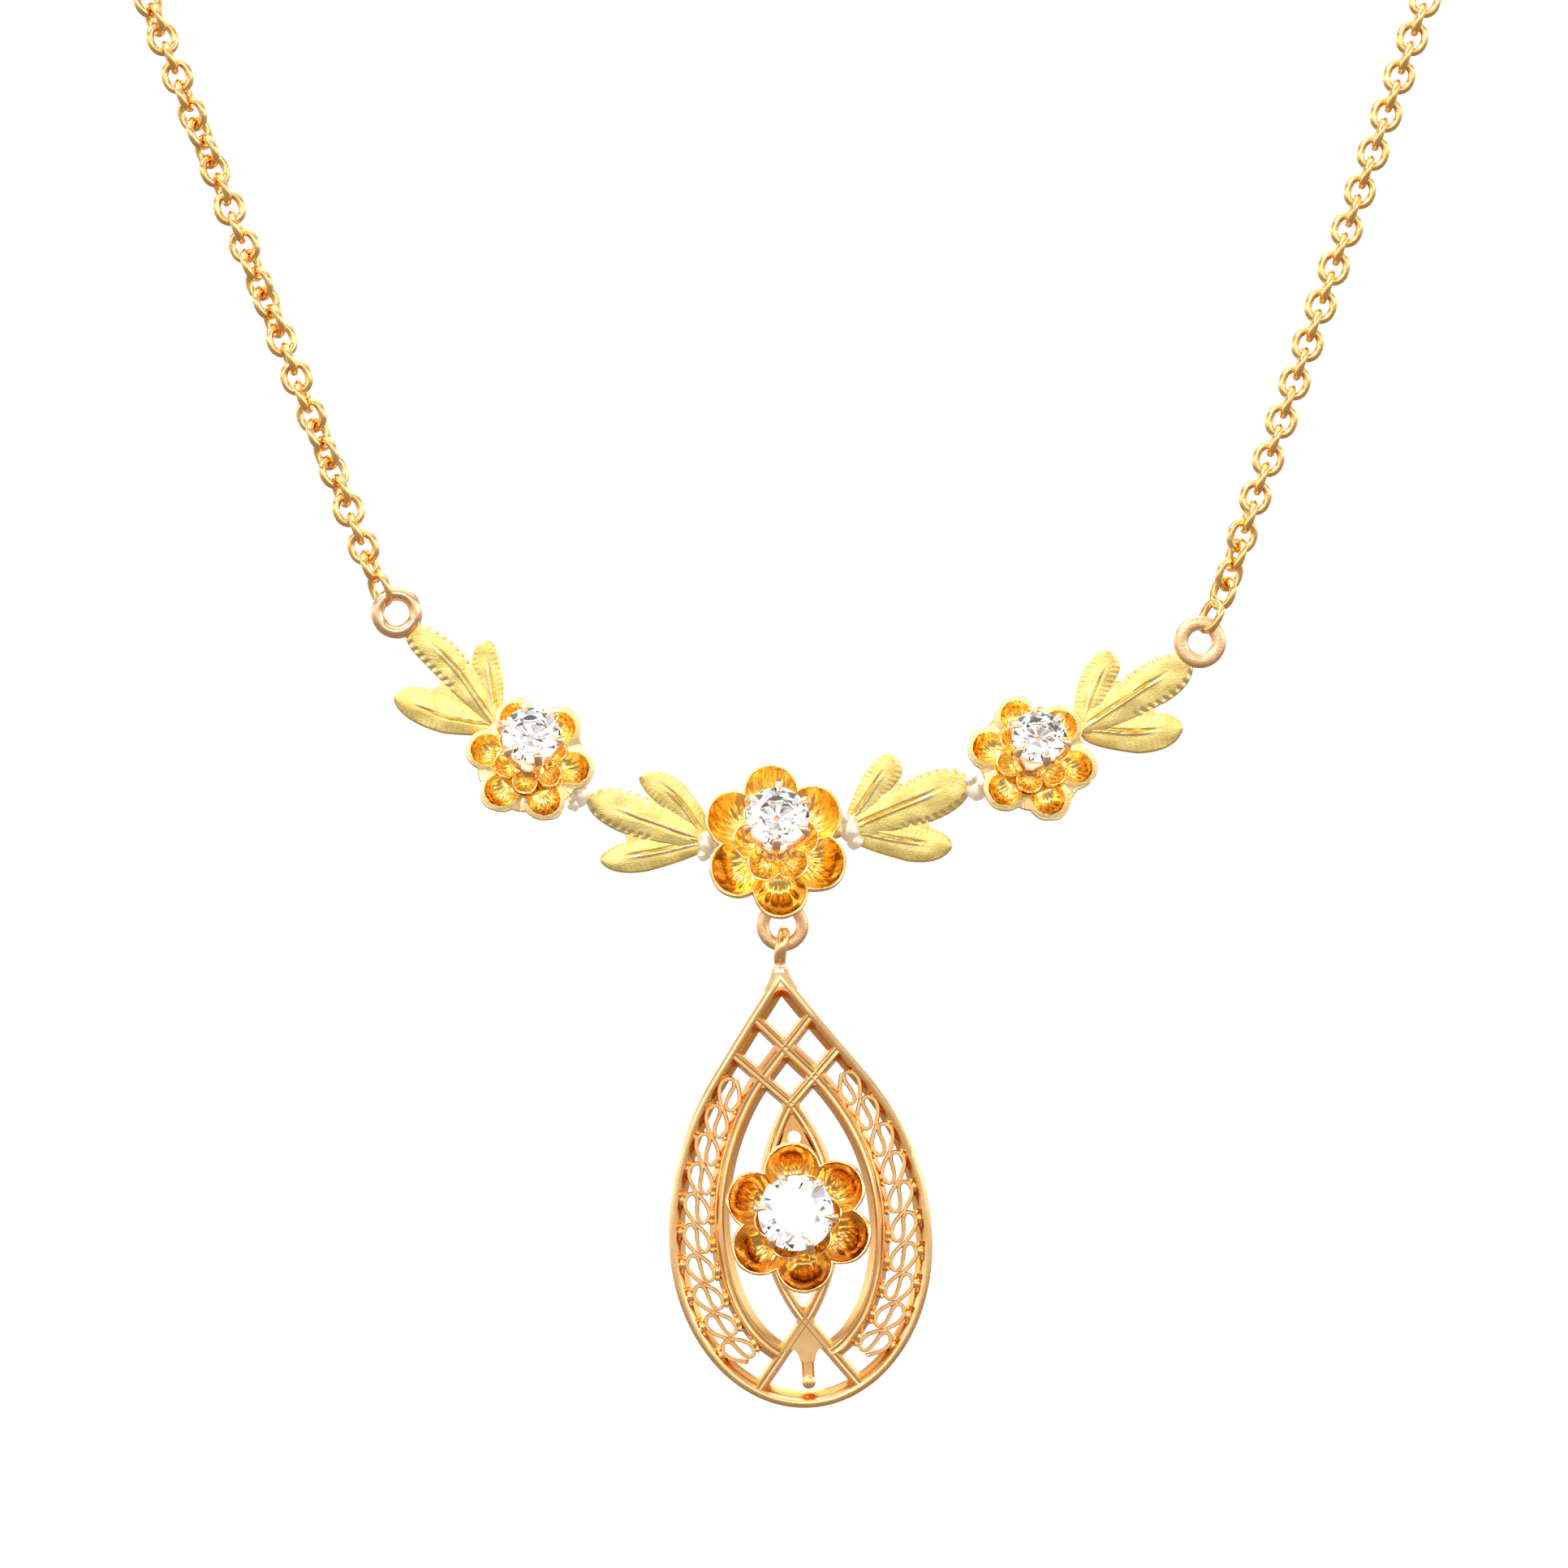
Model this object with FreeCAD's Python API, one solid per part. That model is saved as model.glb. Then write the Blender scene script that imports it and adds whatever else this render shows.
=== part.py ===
import FreeCAD, Part
import math
import os

V = FreeCAD.Vector

# A lavaliere necklace: a fine chain, a garland of flowers and leaves, and a hanging drop.
# Millimetres. X to the wearer's left in front view, Z up, the front faces -Y.
# Pieces are laid out from the centre of the drop ring, in whose plane the front of the necklace
# lies, and moved at the end so that the origin is where the clasp rests on the nape.

# Driving dimensions
SEAM = 0.05                      # gap between two pieces that are soldered or set together
CHAIN_WIDTH = 2.0
LINK_WIRE = 0.5
LINK_LENGTH = 2.24
CLASP_LENGTH = 7.0
CLASP_RADIUS = 1.3
EYE_WIRE = 0.6
EYE_HOLE = 0.62                  # radius of the hole in a clasp eye
NAPE = V(4.0, 84.2, 135.0)       # where the clasp's inner side touches the nape

RING_WIRE = 0.85
RING_HOLE = 0.75                 # radius of the hole in an end ring
DROP_RING_HOLE = 0.825
DROP_RING_OUTER = 1.615
DROP_RING_DEPTH = 0.6
LOOP_RADIUS = 0.93               # centre line of the loop that hangs in the drop ring
LOOP_WIRE = 0.76
LOOP_CENTRE_Z = -1.3

LEAF_SHEET = 0.45
LEAF_BACK = 0.25                 # Y of the leaf sheet's back face
PETAL_SHEET = 0.35

RAIL_WIDTH = 0.5
FRAME_DEPTH = 1.2
BAR_WIDTH = 0.46
SCROLL_WIRE = 0.26
SCROLL_DEPTH = 0.5
SCROLL_PITCH = 1.85
SCROLL_COUNT = 10
SCROLL_TOP_Z = -10.2
SCROLL_HALF_WIDTH = 0.87

# Ends of the garland: ring centre, and where the straight chain leaves the top of the view
GARLAND_ENDS = {
    "left": {"ring": (-22.62, 20.59), "chain_through": (-35.72, 59.15)},
    "right": {"ring": (26.67, 15.94), "chain_through": (42.70, 54.63)},
}
STRAIGHT_RUN = 58.0              # the chain runs straight up to the collarbone

# The rest of each chain's route over the shoulder to the nape: X, Y, Z of each turning point
HIDDEN_ROUTE = {
    "left": [(-51.4, 15.0, 107.6), (-54.6, 42.8, 123.0), (-41.8, 68.8, 131.0), (-21.0, 83.6, 134.8)],
    "right": [(60.0, 15.0, 102.6), (63.0, 42.8, 121.0), (49.8, 68.8, 130.5), (29.0, 83.6, 134.8)],
}

# Flowers: centre of the outline, tilt upwards and sideways (degrees), radius of an outer petal and
# its distance from the axis, how much taller than wide the ring of petals is, radius of the plate
# that joins them, angles of the first petal and claw, stone diameter, and the height of its girdle
# above the flower's back
FLOWERS = {
    "left": {"x": -14.85, "z": 11.12, "up": 24, "side": 4, "petal": 1.30, "spread": 2.68, "tall": 1.06,
             "plate": 2.9, "turn": 46, "claw_turn": 41, "stone": 3.6, "girdle": 4.8, "back_y": -1.40},
    "centre": {"x": -0.11, "z": 5.27, "up": 24, "side": 3, "petal": 1.75, "spread": 2.80, "tall": 1.13,
               "plate": 2.6, "turn": 92, "claw_turn": 85, "stone": 3.85, "girdle": 5.3, "back_y": -1.55},
    "right": {"x": 15.90, "z": 9.43, "up": 24, "side": 7, "petal": 1.35, "spread": 2.70, "tall": 1.06,
              "plate": 2.9, "turn": 47, "claw_turn": 40, "stone": 3.4, "girdle": 4.4, "back_y": -1.40},
    "drop": {"x": -0.07, "z": -17.85, "up": 10, "side": -3, "petal": 1.80, "spread": 2.85, "tall": 1.0,
             "plate": 2.6, "turn": 94, "claw_turn": 49, "stone": 4.6, "girdle": 4.0, "back_y": -1.20},
}
PETAL_COUNT = 6
INNER_SCALE = 0.56               # an inner petal against an outer one
INNER_SHEET = 0.28
CUP_FOOT = 0.12                  # heights in a flower, as parts of an outer petal's radius
CUP_FLOOR = 0.5
SEAT = 0.87
SEAT_WIDTH = 0.5                 # radius of the setting's seat, as a part of the petals' distance
CLAW_WIDTH = 0.54
SETTING_FOOT = 0.95              # radius
GALLERY_WIRE = 0.4

# Leaf sprays: where the leaflets meet, the flower that they grow from, the flower that the middle
# leaflet's tip is soldered to, and for each leaflet its tip and the widest points of its two edges
SPRAYS = {
    "left_outer": {"root": (-16.9, 13.3), "flower": "left", "tip_flower": None, "leaflets": [
        {"tip": (-21.95, 19.75), "edge_a": (-21.75, 18.10), "edge_b": (-18.50, 17.70)},
        {"tip": (-17.10, 18.60), "edge_a": (-18.20, 16.90), "edge_b": (-16.30, 15.80)},
        {"tip": (-23.10, 15.45), "edge_a": (-20.75, 15.75), "edge_b": (-20.20, 13.00)}]},
    "left_inner": {"root": (-4.2, 5.4), "flower": "centre", "tip_flower": "left", "leaflets": [
        {"tip": (-11.60, 8.45), "edge_a": (-8.70, 8.75), "edge_b": (-8.90, 5.95)},
        {"tip": (-8.30, 9.60), "edge_a": (-5.60, 9.05), "edge_b": (-7.00, 7.60)},
        {"tip": (-11.00, 4.65), "edge_a": (-8.30, 5.80), "edge_b": (-8.00, 3.80)}]},
    "right_inner": {"root": (4.2, 5.6), "flower": "centre", "tip_flower": "right", "leaflets": [
        {"tip": (12.10, 8.20), "edge_a": (9.10, 8.90), "edge_b": (9.60, 5.85)},
        {"tip": (7.20, 10.25), "edge_a": (7.95, 8.90), "edge_b": (5.30, 8.60)},
        {"tip": (10.75, 4.30), "edge_a": (8.30, 5.75), "edge_b": (7.80, 3.50)}]},
    "right_outer": {"root": (19.0, 10.9), "flower": "right", "tip_flower": None, "leaflets": [
        {"tip": (26.10, 15.00), "edge_a": (22.60, 14.55), "edge_b": (24.50, 12.40)},
        {"tip": (20.95, 15.80), "edge_a": (21.65, 14.50), "edge_b": (18.95, 13.60)},
        {"tip": (25.35, 10.75), "edge_a": (23.20, 11.80), "edge_b": (22.40, 9.30)}]},
}
STEM_WIDTH = 1.1                 # strip that runs from inside a spray to the post behind a flower
STEM_START = 1.5                 # how far inside the spray it starts
POST_RADIUS = 0.8                # post on a flower's back, round which the stems end
POST_END_Y = 0.2
DROP_POST_END_Y = -0.1

# Teardrops: half width, height of the widest place, depth below it, radius of the flank above it
# and the angle over which the flank bends before it runs straight to the point
RIM = {"half": 8.1, "wide_z": -19.5, "foot": 10.25, "flank": 17.4, "bend": 36.0}
INNER_RAIL = {"half": 4.95, "wide_z": -18.5, "foot": 8.27, "flank": 14.2, "bend": 42.0}
SCROLL_LINE = {"half": 6.4, "wide_z": -19.0, "foot": 9.3, "flank": 15.8, "bend": 38.0}
LOWER_CROSSING_Z = -11.0
LOWER_BAR_SLANT = 45.0
OVAL_FOOT_Z = -24.4
OVAL_HALF = 2.1
LEG_END = (3.35, -28.75)
PEG_TOP_Z = -25.6
PEG_FOOT_Z = -28.15
PEG_RADIUS = 0.42
COLLAR_Z = -3.35
COLLAR_RADIUS = 0.62
# Plates between the bars: under the pointed oval's top, with a round hole, and between the legs
OVAL_WEB = [(0, -11.2), (-1.15, -14.2), (1.15, -14.2)]
OVAL_WEB_HOLE = {"z": -13.1, "radius": 0.42}
LEG_WEB = [(0, -24.3), (-1.35, -25.95), (-0.45, -25.75), (0.45, -25.75), (1.35, -25.95)]
HOLDER_RADIUS = 1.25             # cup that takes the drop flower's post
HOLDER_FRONT_Y = 0.1
HOLDER_DEPTH = 0.5


def ring(centre, axis, hole, wire):
    return Part.makeTorus(hole + wire / 2, wire / 2, centre, axis)


def plate(wire_or_points, front_y, depth):
    wire = wire_or_points
    if isinstance(wire_or_points, list):
        points = [V(x, 0, z) for x, z in wire_or_points]
        wire = Part.makePolygon(points + [points[0]])
    face = Part.Face(wire)
    face.translate(V(0, front_y, 0))
    return face.extrude(V(0, depth, 0))


def bar(start, end, width, front_y, depth):
    x0, z0 = start
    x1, z1 = end
    length = math.hypot(x1 - x0, z1 - z0)
    side_x = -(z1 - z0) / length * width / 2
    side_z = (x1 - x0) / length * width / 2
    corners = [(x0 + side_x, z0 + side_z), (x1 + side_x, z1 + side_z),
               (x1 - side_x, z1 - side_z), (x0 - side_x, z0 - side_z)]
    return plate(corners, front_y, depth)


def bowed_bar(top_z, foot_z, bulge, width, front_y, depth):
    # an arc from (0, top_z) to (0, foot_z) that stands out by bulge, as a band of even width
    half_chord = (top_z - foot_z) / 2
    middle_z = (top_z + foot_z) / 2
    radius = (half_chord ** 2 + bulge ** 2) / (2 * abs(bulge))
    side = math.copysign(1, bulge)
    centre_x = bulge - side * radius
    spread = math.asin(half_chord / radius)

    def on_arc(at_radius, angle):
        return V(centre_x + side * at_radius * math.cos(angle), 0, middle_z + at_radius * math.sin(angle))

    outer = radius + width / 2
    inner = radius - width / 2
    edges = [Part.Arc(on_arc(outer, spread), on_arc(outer, 0), on_arc(outer, -spread)).toShape(),
             Part.LineSegment(on_arc(outer, -spread), on_arc(inner, -spread)).toShape(),
             Part.Arc(on_arc(inner, -spread), on_arc(inner, 0), on_arc(inner, spread)).toShape(),
             Part.LineSegment(on_arc(inner, spread), on_arc(outer, spread)).toShape()]
    return plate(Part.Wire(edges), front_y, depth)


def teardrop(shape, inset):
    # an elliptic foot, two round flanks and two straight shoulders that meet in a point
    half = shape["half"] - inset
    foot = shape["foot"] - inset
    flank = shape["flank"] - inset
    bend = math.radians(shape["bend"])
    wide_z = shape["wide_z"]
    flank_x = half - flank
    shoulder = V(flank_x + flank * math.cos(bend), 0, wide_z + flank * math.sin(bend))
    waist = V(flank_x + flank * math.cos(bend / 2), 0, wide_z + flank * math.sin(bend / 2))
    point = V(0, 0, shoulder.z + shoulder.x * math.cos(bend) / math.sin(bend))

    def mirrored(at):
        return V(-at.x, 0, at.z)

    wide = V(half, 0, wide_z)
    ellipse = Part.Ellipse(V(0, 0, wide_z - foot), V(half, 0, wide_z), V(0, 0, wide_z))
    edges = [Part.LineSegment(point, shoulder).toShape(),
             Part.Arc(shoulder, waist, wide).toShape(),
             Part.ArcOfEllipse(ellipse, -math.pi / 2, math.pi / 2).toShape(),
             Part.Arc(mirrored(wide), mirrored(waist), mirrored(shoulder)).toShape(),
             Part.LineSegment(mirrored(shoulder), point).toShape()]
    return Part.Wire(edges)


def teardrop_point(shape):
    bend = math.radians(shape["bend"])
    shoulder_x = shape["half"] - shape["flank"] + shape["flank"] * math.cos(bend)
    return shape["wide_z"] + shape["flank"] * math.sin(bend) + shoulder_x / math.tan(bend)


def rim_above(start_z, slant):
    # where a bar that slants up from (0, start_z) reaches the middle of the rim
    run = 0.0
    while run < half_width(RIM, start_z + run / math.tan(math.radians(slant))) - RAIL_WIDTH * 0.6:
        run += 0.02
    return run, start_z + run / math.tan(math.radians(slant))


def teardrop_band(shape, outset, inset, front_y, depth):
    return plate(teardrop(shape, -outset), front_y, depth).cut(
        plate(teardrop(shape, inset), front_y, depth))


def half_width(shape, z):
    below = shape["wide_z"] - z
    if below > 0:
        return shape["half"] * math.sqrt(max(0.0, 1 - (below / shape["foot"]) ** 2))
    bend = math.radians(shape["bend"])
    flank = shape["flank"]
    if -below < flank * math.sin(bend):
        return shape["half"] - flank + math.sqrt(flank ** 2 - below ** 2)
    at_shoulder = shape["half"] - flank + flank * math.cos(bend)
    return at_shoulder - (-below - flank * math.sin(bend)) * math.tan(bend)


def fused(shapes):
    return shapes[0].multiFuse(shapes[1:]).removeSplitter()


def flower_frame(flower):
    # the flower's axis leans upwards and sideways from straight out of the front
    up = math.radians(flower["up"])
    side = math.radians(flower["side"])
    axis = V(math.sin(side), -math.cos(up) * math.cos(side), math.sin(up) * math.cos(side))
    across = V(1, 0, 0) - axis * axis.x
    across.normalize()
    rotation = FreeCAD.Rotation(across, axis.cross(across), axis, "ZXY")
    rim = flower["petal"]
    back = V(flower["x"] - axis.x * rim, flower["back_y"], flower["z"] - axis.z * rim)
    return FreeCAD.Placement(back, rotation)


def post_end(flower, end_y):
    # how far back along the flower's axis its post goes to reach end_y, and where that is
    frame = flower_frame(flower)
    axis = frame.Rotation.multVec(V(0, 0, 1))
    height = (end_y - frame.Base.y) / axis.y
    return height, frame.multVec(V(0, 0, height))


def petal_cups(radius, spread, tall, first_angle, rim_height, sheet):
    outer = []
    inner = []
    for number in range(PETAL_COUNT):
        angle = math.radians(first_angle + number * 360 / PETAL_COUNT)
        centre = V(spread * math.cos(angle), tall * spread * math.sin(angle), rim_height)
        outer.append(Part.makeSphere(radius, centre, V(0, 0, 1), -90, 0, 360))
        inner.append(Part.makeSphere(radius - sheet, centre))
    return outer, inner


def make_flower(flower):
    # built face up on its back at the origin, then leaned into place
    radius = flower["petal"]
    spread = flower["spread"]
    tall = flower["tall"]
    outer, inner = petal_cups(radius, spread, tall, flower["turn"], radius, PETAL_SHEET)
    floor_top = CUP_FLOOR * radius
    seat_radius = SEAT_WIDTH * spread
    foot = CUP_FOOT * radius
    disc = Part.makeCylinder(flower["plate"], floor_top - foot, V(0, 0, foot))
    cups = fused(outer + [disc])
    well = Part.makeCylinder(spread * 0.95, radius, V(0, 0, floor_top))
    cups = cups.cut(inner + [well])
    small = radius * INNER_SCALE
    tier_height = floor_top + small
    small_outer, small_inner = petal_cups(
        small, spread * 0.54, tall, flower["turn"] + 30, tier_height, INNER_SHEET)
    seat = SEAT * radius
    hub = Part.makeCylinder(seat_radius, seat, V(0, 0, foot))
    tier = fused(small_outer + [hub])
    tier = tier.cut(small_inner + [Part.makeCylinder(seat_radius, radius, V(0, 0, seat))])
    back, _ = post_end(flower, DROP_POST_END_Y if flower is FLOWERS["drop"] else POST_END_Y)
    post = Part.makeCylinder(POST_RADIUS, floor_top - back - 0.1, V(0, 0, back))
    whole = fused([cups, tier, post])
    whole.Placement = flower_frame(flower)
    return whole


def seat_height(flower):
    return SEAT * flower["petal"] + SEAM


def make_setting(flower):
    # a solid foot and six claws that lean out to the girdle and close over the stone's crown
    stone_radius = flower["stone"] / 2
    girdle = flower["girdle"]
    foot = seat_height(flower)
    claw_out = stone_radius + 0.30
    profile = [(0.30, foot), (SETTING_FOOT, foot),
               (claw_out - 0.1, girdle - 0.75), (claw_out, girdle + 0.28),
               (stone_radius - 0.12, girdle + 0.70), (stone_radius - 0.44, girdle + 0.62),
               (stone_radius - 0.38, girdle + 0.49), (stone_radius + SEAM, girdle + 0.16),
               (stone_radius + SEAM, girdle - 0.12), (stone_radius - 0.28, girdle - 0.55)]
    corners = [V(radius, -CLAW_WIDTH / 2, height) for radius, height in profile]
    claw = Part.Face(Part.makePolygon(corners + [corners[0]])).extrude(V(0, CLAW_WIDTH, 0))
    parts = [Part.makeCylinder(SETTING_FOOT, 0.4, V(0, 0, foot))]
    # a gallery ring a little under half way up the claws' shanks, let into them from inside
    up_shank = 0.45
    gallery_height = foot + up_shank * (girdle - 0.75 - foot)
    gallery_radius = SETTING_FOOT + up_shank * (claw_out - 0.1 - SETTING_FOOT) - 0.22
    parts.append(Part.makeTorus(gallery_radius, GALLERY_WIRE / 2, V(0, 0, gallery_height)))
    for number in range(PETAL_COUNT):
        turned = claw.copy()
        turned.rotate(V(0, 0, 0), V(0, 0, 1), flower["claw_turn"] + number * 360 / PETAL_COUNT)
        parts.append(turned)
    whole = fused(parts)
    whole.Placement = flower_frame(flower)
    return whole


def make_stone(flower):
    # an old cut: small table, high crown, deep pavilion and a blunt culet
    radius = flower["stone"] / 2
    stone = Part.makeCylinder(radius, 3 * radius, V(0, 0, -1.5 * radius))
    block = 4 * radius
    half_girdle = 0.06
    facets = [{"count": 1, "slope": 0, "turn": 0, "at": 0, "height": 0.34 * radius},
              {"count": 8, "slope": 36, "turn": 0, "at": radius, "height": half_girdle},
              {"count": 16, "slope": 43, "turn": 11.25, "at": radius, "height": half_girdle},
              {"count": 8, "slope": 23, "turn": 22.5, "at": 0.56 * radius, "height": 0.34 * radius},
              {"count": 8, "slope": 138, "turn": 0, "at": radius, "height": -half_girdle},
              {"count": 16, "slope": 134, "turn": 11.25, "at": radius, "height": -half_girdle},
              {"count": 1, "slope": 180, "turn": 0, "at": 0, "height": -0.82 * radius}]
    for facet in facets:
        slope = math.radians(facet["slope"])
        for number in range(facet["count"]):
            turn = math.radians(facet["turn"] + number * 360 / facet["count"])
            normal = V(math.sin(slope) * math.cos(turn), math.sin(slope) * math.sin(turn), math.cos(slope))
            on_plane = V(facet["at"] * math.cos(turn), facet["at"] * math.sin(turn), facet["height"])
            cutter = Part.makeBox(block, block, block, V(-block / 2, -block / 2, 0))
            cutter.Placement = FreeCAD.Placement(on_plane, FreeCAD.Rotation(V(0, 0, 1), normal))
            stone = stone.cut(cutter)
    frame = flower_frame(flower)
    stone.Placement = frame.multiply(FreeCAD.Placement(V(0, 0, flower["girdle"]), FreeCAD.Rotation()))
    return stone


def make_spray(spray):
    root = V(spray["root"][0], 0, spray["root"][1])
    parts = []
    for leaflet in spray["leaflets"]:
        tip = V(leaflet["tip"][0], 0, leaflet["tip"][1])
        edge_a = V(leaflet["edge_a"][0], 0, leaflet["edge_a"][1])
        edge_b = V(leaflet["edge_b"][0], 0, leaflet["edge_b"][1])
        outline = Part.Wire([Part.Arc(root, edge_a, tip).toShape(), Part.Arc(tip, edge_b, root).toShape()])
        parts.append(plate(outline, LEAF_BACK - LEAF_SHEET, LEAF_SHEET))
    ends = [(root, spray["flower"])]
    if spray["tip_flower"]:
        first_tip = spray["leaflets"][0]["tip"]
        ends.append((V(first_tip[0], 0, first_tip[1]), spray["tip_flower"]))
    for leaf_end, flower_name in ends:
        _, post = post_end(FLOWERS[flower_name], POST_END_Y)
        towards = V(post.x, 0, post.z) - leaf_end
        direction = V(towards).normalize()
        start = leaf_end - direction * STEM_START
        end = leaf_end + direction * (towards.Length - POST_RADIUS * 1.15 - SEAM)
        parts.append(bar((start.x, start.z), (end.x, end.z), STEM_WIDTH, 0.0, LEAF_BACK))
    whole = fused(parts)
    for end in GARLAND_ENDS.values():
        centre = V(end["ring"][0], -1, end["ring"][1])
        whole = whole.cut(Part.makeCylinder(RING_HOLE + RING_WIRE + SEAM, 2, centre, V(0, 1, 0)))
    return whole


def make_end_link(hole_side, direction):
    # the link that goes round a ring's wire: a stadium of round wire in the plane of the chain and Y
    bow = (CHAIN_WIDTH - LINK_WIRE) / 2
    half_straight = (LINK_LENGTH - LINK_WIRE) / 2 - bow
    centre = hole_side + direction * (half_straight + bow)
    depth = V(0, 1, 0)
    near = centre - direction * half_straight
    far = centre + direction * half_straight
    path = Part.Wire([Part.LineSegment(near + depth * bow, far + depth * bow).toShape(),
                      Part.Arc(far + depth * bow, far + direction * bow, far - depth * bow).toShape(),
                      Part.LineSegment(far - depth * bow, near - depth * bow).toShape(),
                      Part.Arc(near - depth * bow, near - direction * bow, near + depth * bow).toShape()])
    section = Part.Wire(Part.Circle(near + depth * bow, direction, LINK_WIRE / 2).toShape())
    return path.makePipeShell([section], True, True), far + direction * (bow - LINK_WIRE / 4)


def tube_path(points):
    # straight runs joined by tangent arcs, each as large as its two runs allow
    edges = []
    radii = []
    last = points[0]
    for before, corner, after in zip(points, points[1:], points[2:]):
        run_in = corner - before
        run_out = after - corner
        turn = run_in.getAngle(run_out)
        trim = 0.45 * min(run_in.Length, run_out.Length)
        radii.append(trim / math.tan(turn / 2))
        into = V(run_in).normalize()
        out = V(run_out).normalize()
        begin = corner - into * trim
        end = corner + out * trim
        inward = V(out - into).normalize()
        middle = corner + inward * (radii[-1] / math.cos(turn / 2) - radii[-1])
        edges.append(Part.LineSegment(last, begin).toShape())
        edges.append(Part.Arc(begin, middle, end).toShape())
        last = end
    edges.append(Part.LineSegment(last, points[-1]).toShape())
    return Part.Wire(edges), radii


def make_chain(side):
    end = GARLAND_ENDS[side]
    ring_centre = V(end["ring"][0], 0, end["ring"][1])
    upward = V(end["chain_through"][0], 0, end["chain_through"][1]) - ring_centre
    upward.normalize()
    outward = -1 if side == "left" else 1
    across = V(outward, 0, 0)
    clearance = 0.07
    in_ring = ring_centre + upward * (RING_HOLE - clearance - LINK_WIRE / 2)
    first_link, first_far = make_end_link(in_ring, upward)
    eye_centre = V(NAPE.x, NAPE.y + CLASP_RADIUS, NAPE.z) + across * (CLASP_LENGTH / 2 + EYE_HOLE)
    last_link, last_far = make_end_link(eye_centre + across * (EYE_HOLE - SEAM - LINK_WIRE / 2), across)
    route = [first_far, ring_centre + upward * STRAIGHT_RUN]
    route += [V(*point) for point in HIDDEN_ROUTE[side]]
    route.append(last_far)
    path, radii = tube_path(route)
    section = Part.Wire(Part.Circle(route[0], upward, CHAIN_WIDTH / 2).toShape())
    tube = path.makePipeShell([section], True, False)
    expected = math.pi * (CHAIN_WIDTH / 2) ** 2 * path.Length
    print("chain", side, "length %.1f" % path.Length, "volume / section %.4f" % (tube.Volume / expected))
    print("  runs", [round((b - a).Length, 1) for a, b in zip(route, route[1:])])
    print("  radii", [round(radius, 1) for radius in radii])
    return fused([tube, first_link, last_link]), path.Length


def make_clasp():
    # a plain barrel with an eye at each end
    centre = V(NAPE.x, NAPE.y + CLASP_RADIUS, NAPE.z)
    start = centre - V(CLASP_LENGTH / 2, 0, 0)
    barrel = Part.makeCylinder(CLASP_RADIUS, CLASP_LENGTH, start, V(1, 0, 0))
    barrel = barrel.makeFillet(0.4, [edge for edge in barrel.Edges if edge.Closed])
    eyes = []
    for side in (-1, 1):
        eye = V(centre.x + side * (CLASP_LENGTH / 2 + EYE_HOLE), centre.y, centre.z)
        eyes.append(ring(eye, V(0, 1, 0), EYE_HOLE, EYE_WIRE))
    return fused([barrel] + eyes)


def make_drop_ring():
    outer = Part.makeCylinder(DROP_RING_OUTER, DROP_RING_DEPTH, V(0, -DROP_RING_DEPTH / 2, 0), V(0, 1, 0))
    washer = outer.cut(Part.makeCylinder(DROP_RING_HOLE, 2, V(0, -1, 0), V(0, 1, 0)))
    washer = washer.makeFillet(0.25, [edge for edge in washer.Edges if edge.Closed])
    # the solder that carries it from the back of the flower's lowest petal
    solder = Part.makeBox(1.5, 1.15, 0.9, V(-0.75, -0.9, DROP_RING_OUTER - 0.35))
    return fused([washer, solder])


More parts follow.
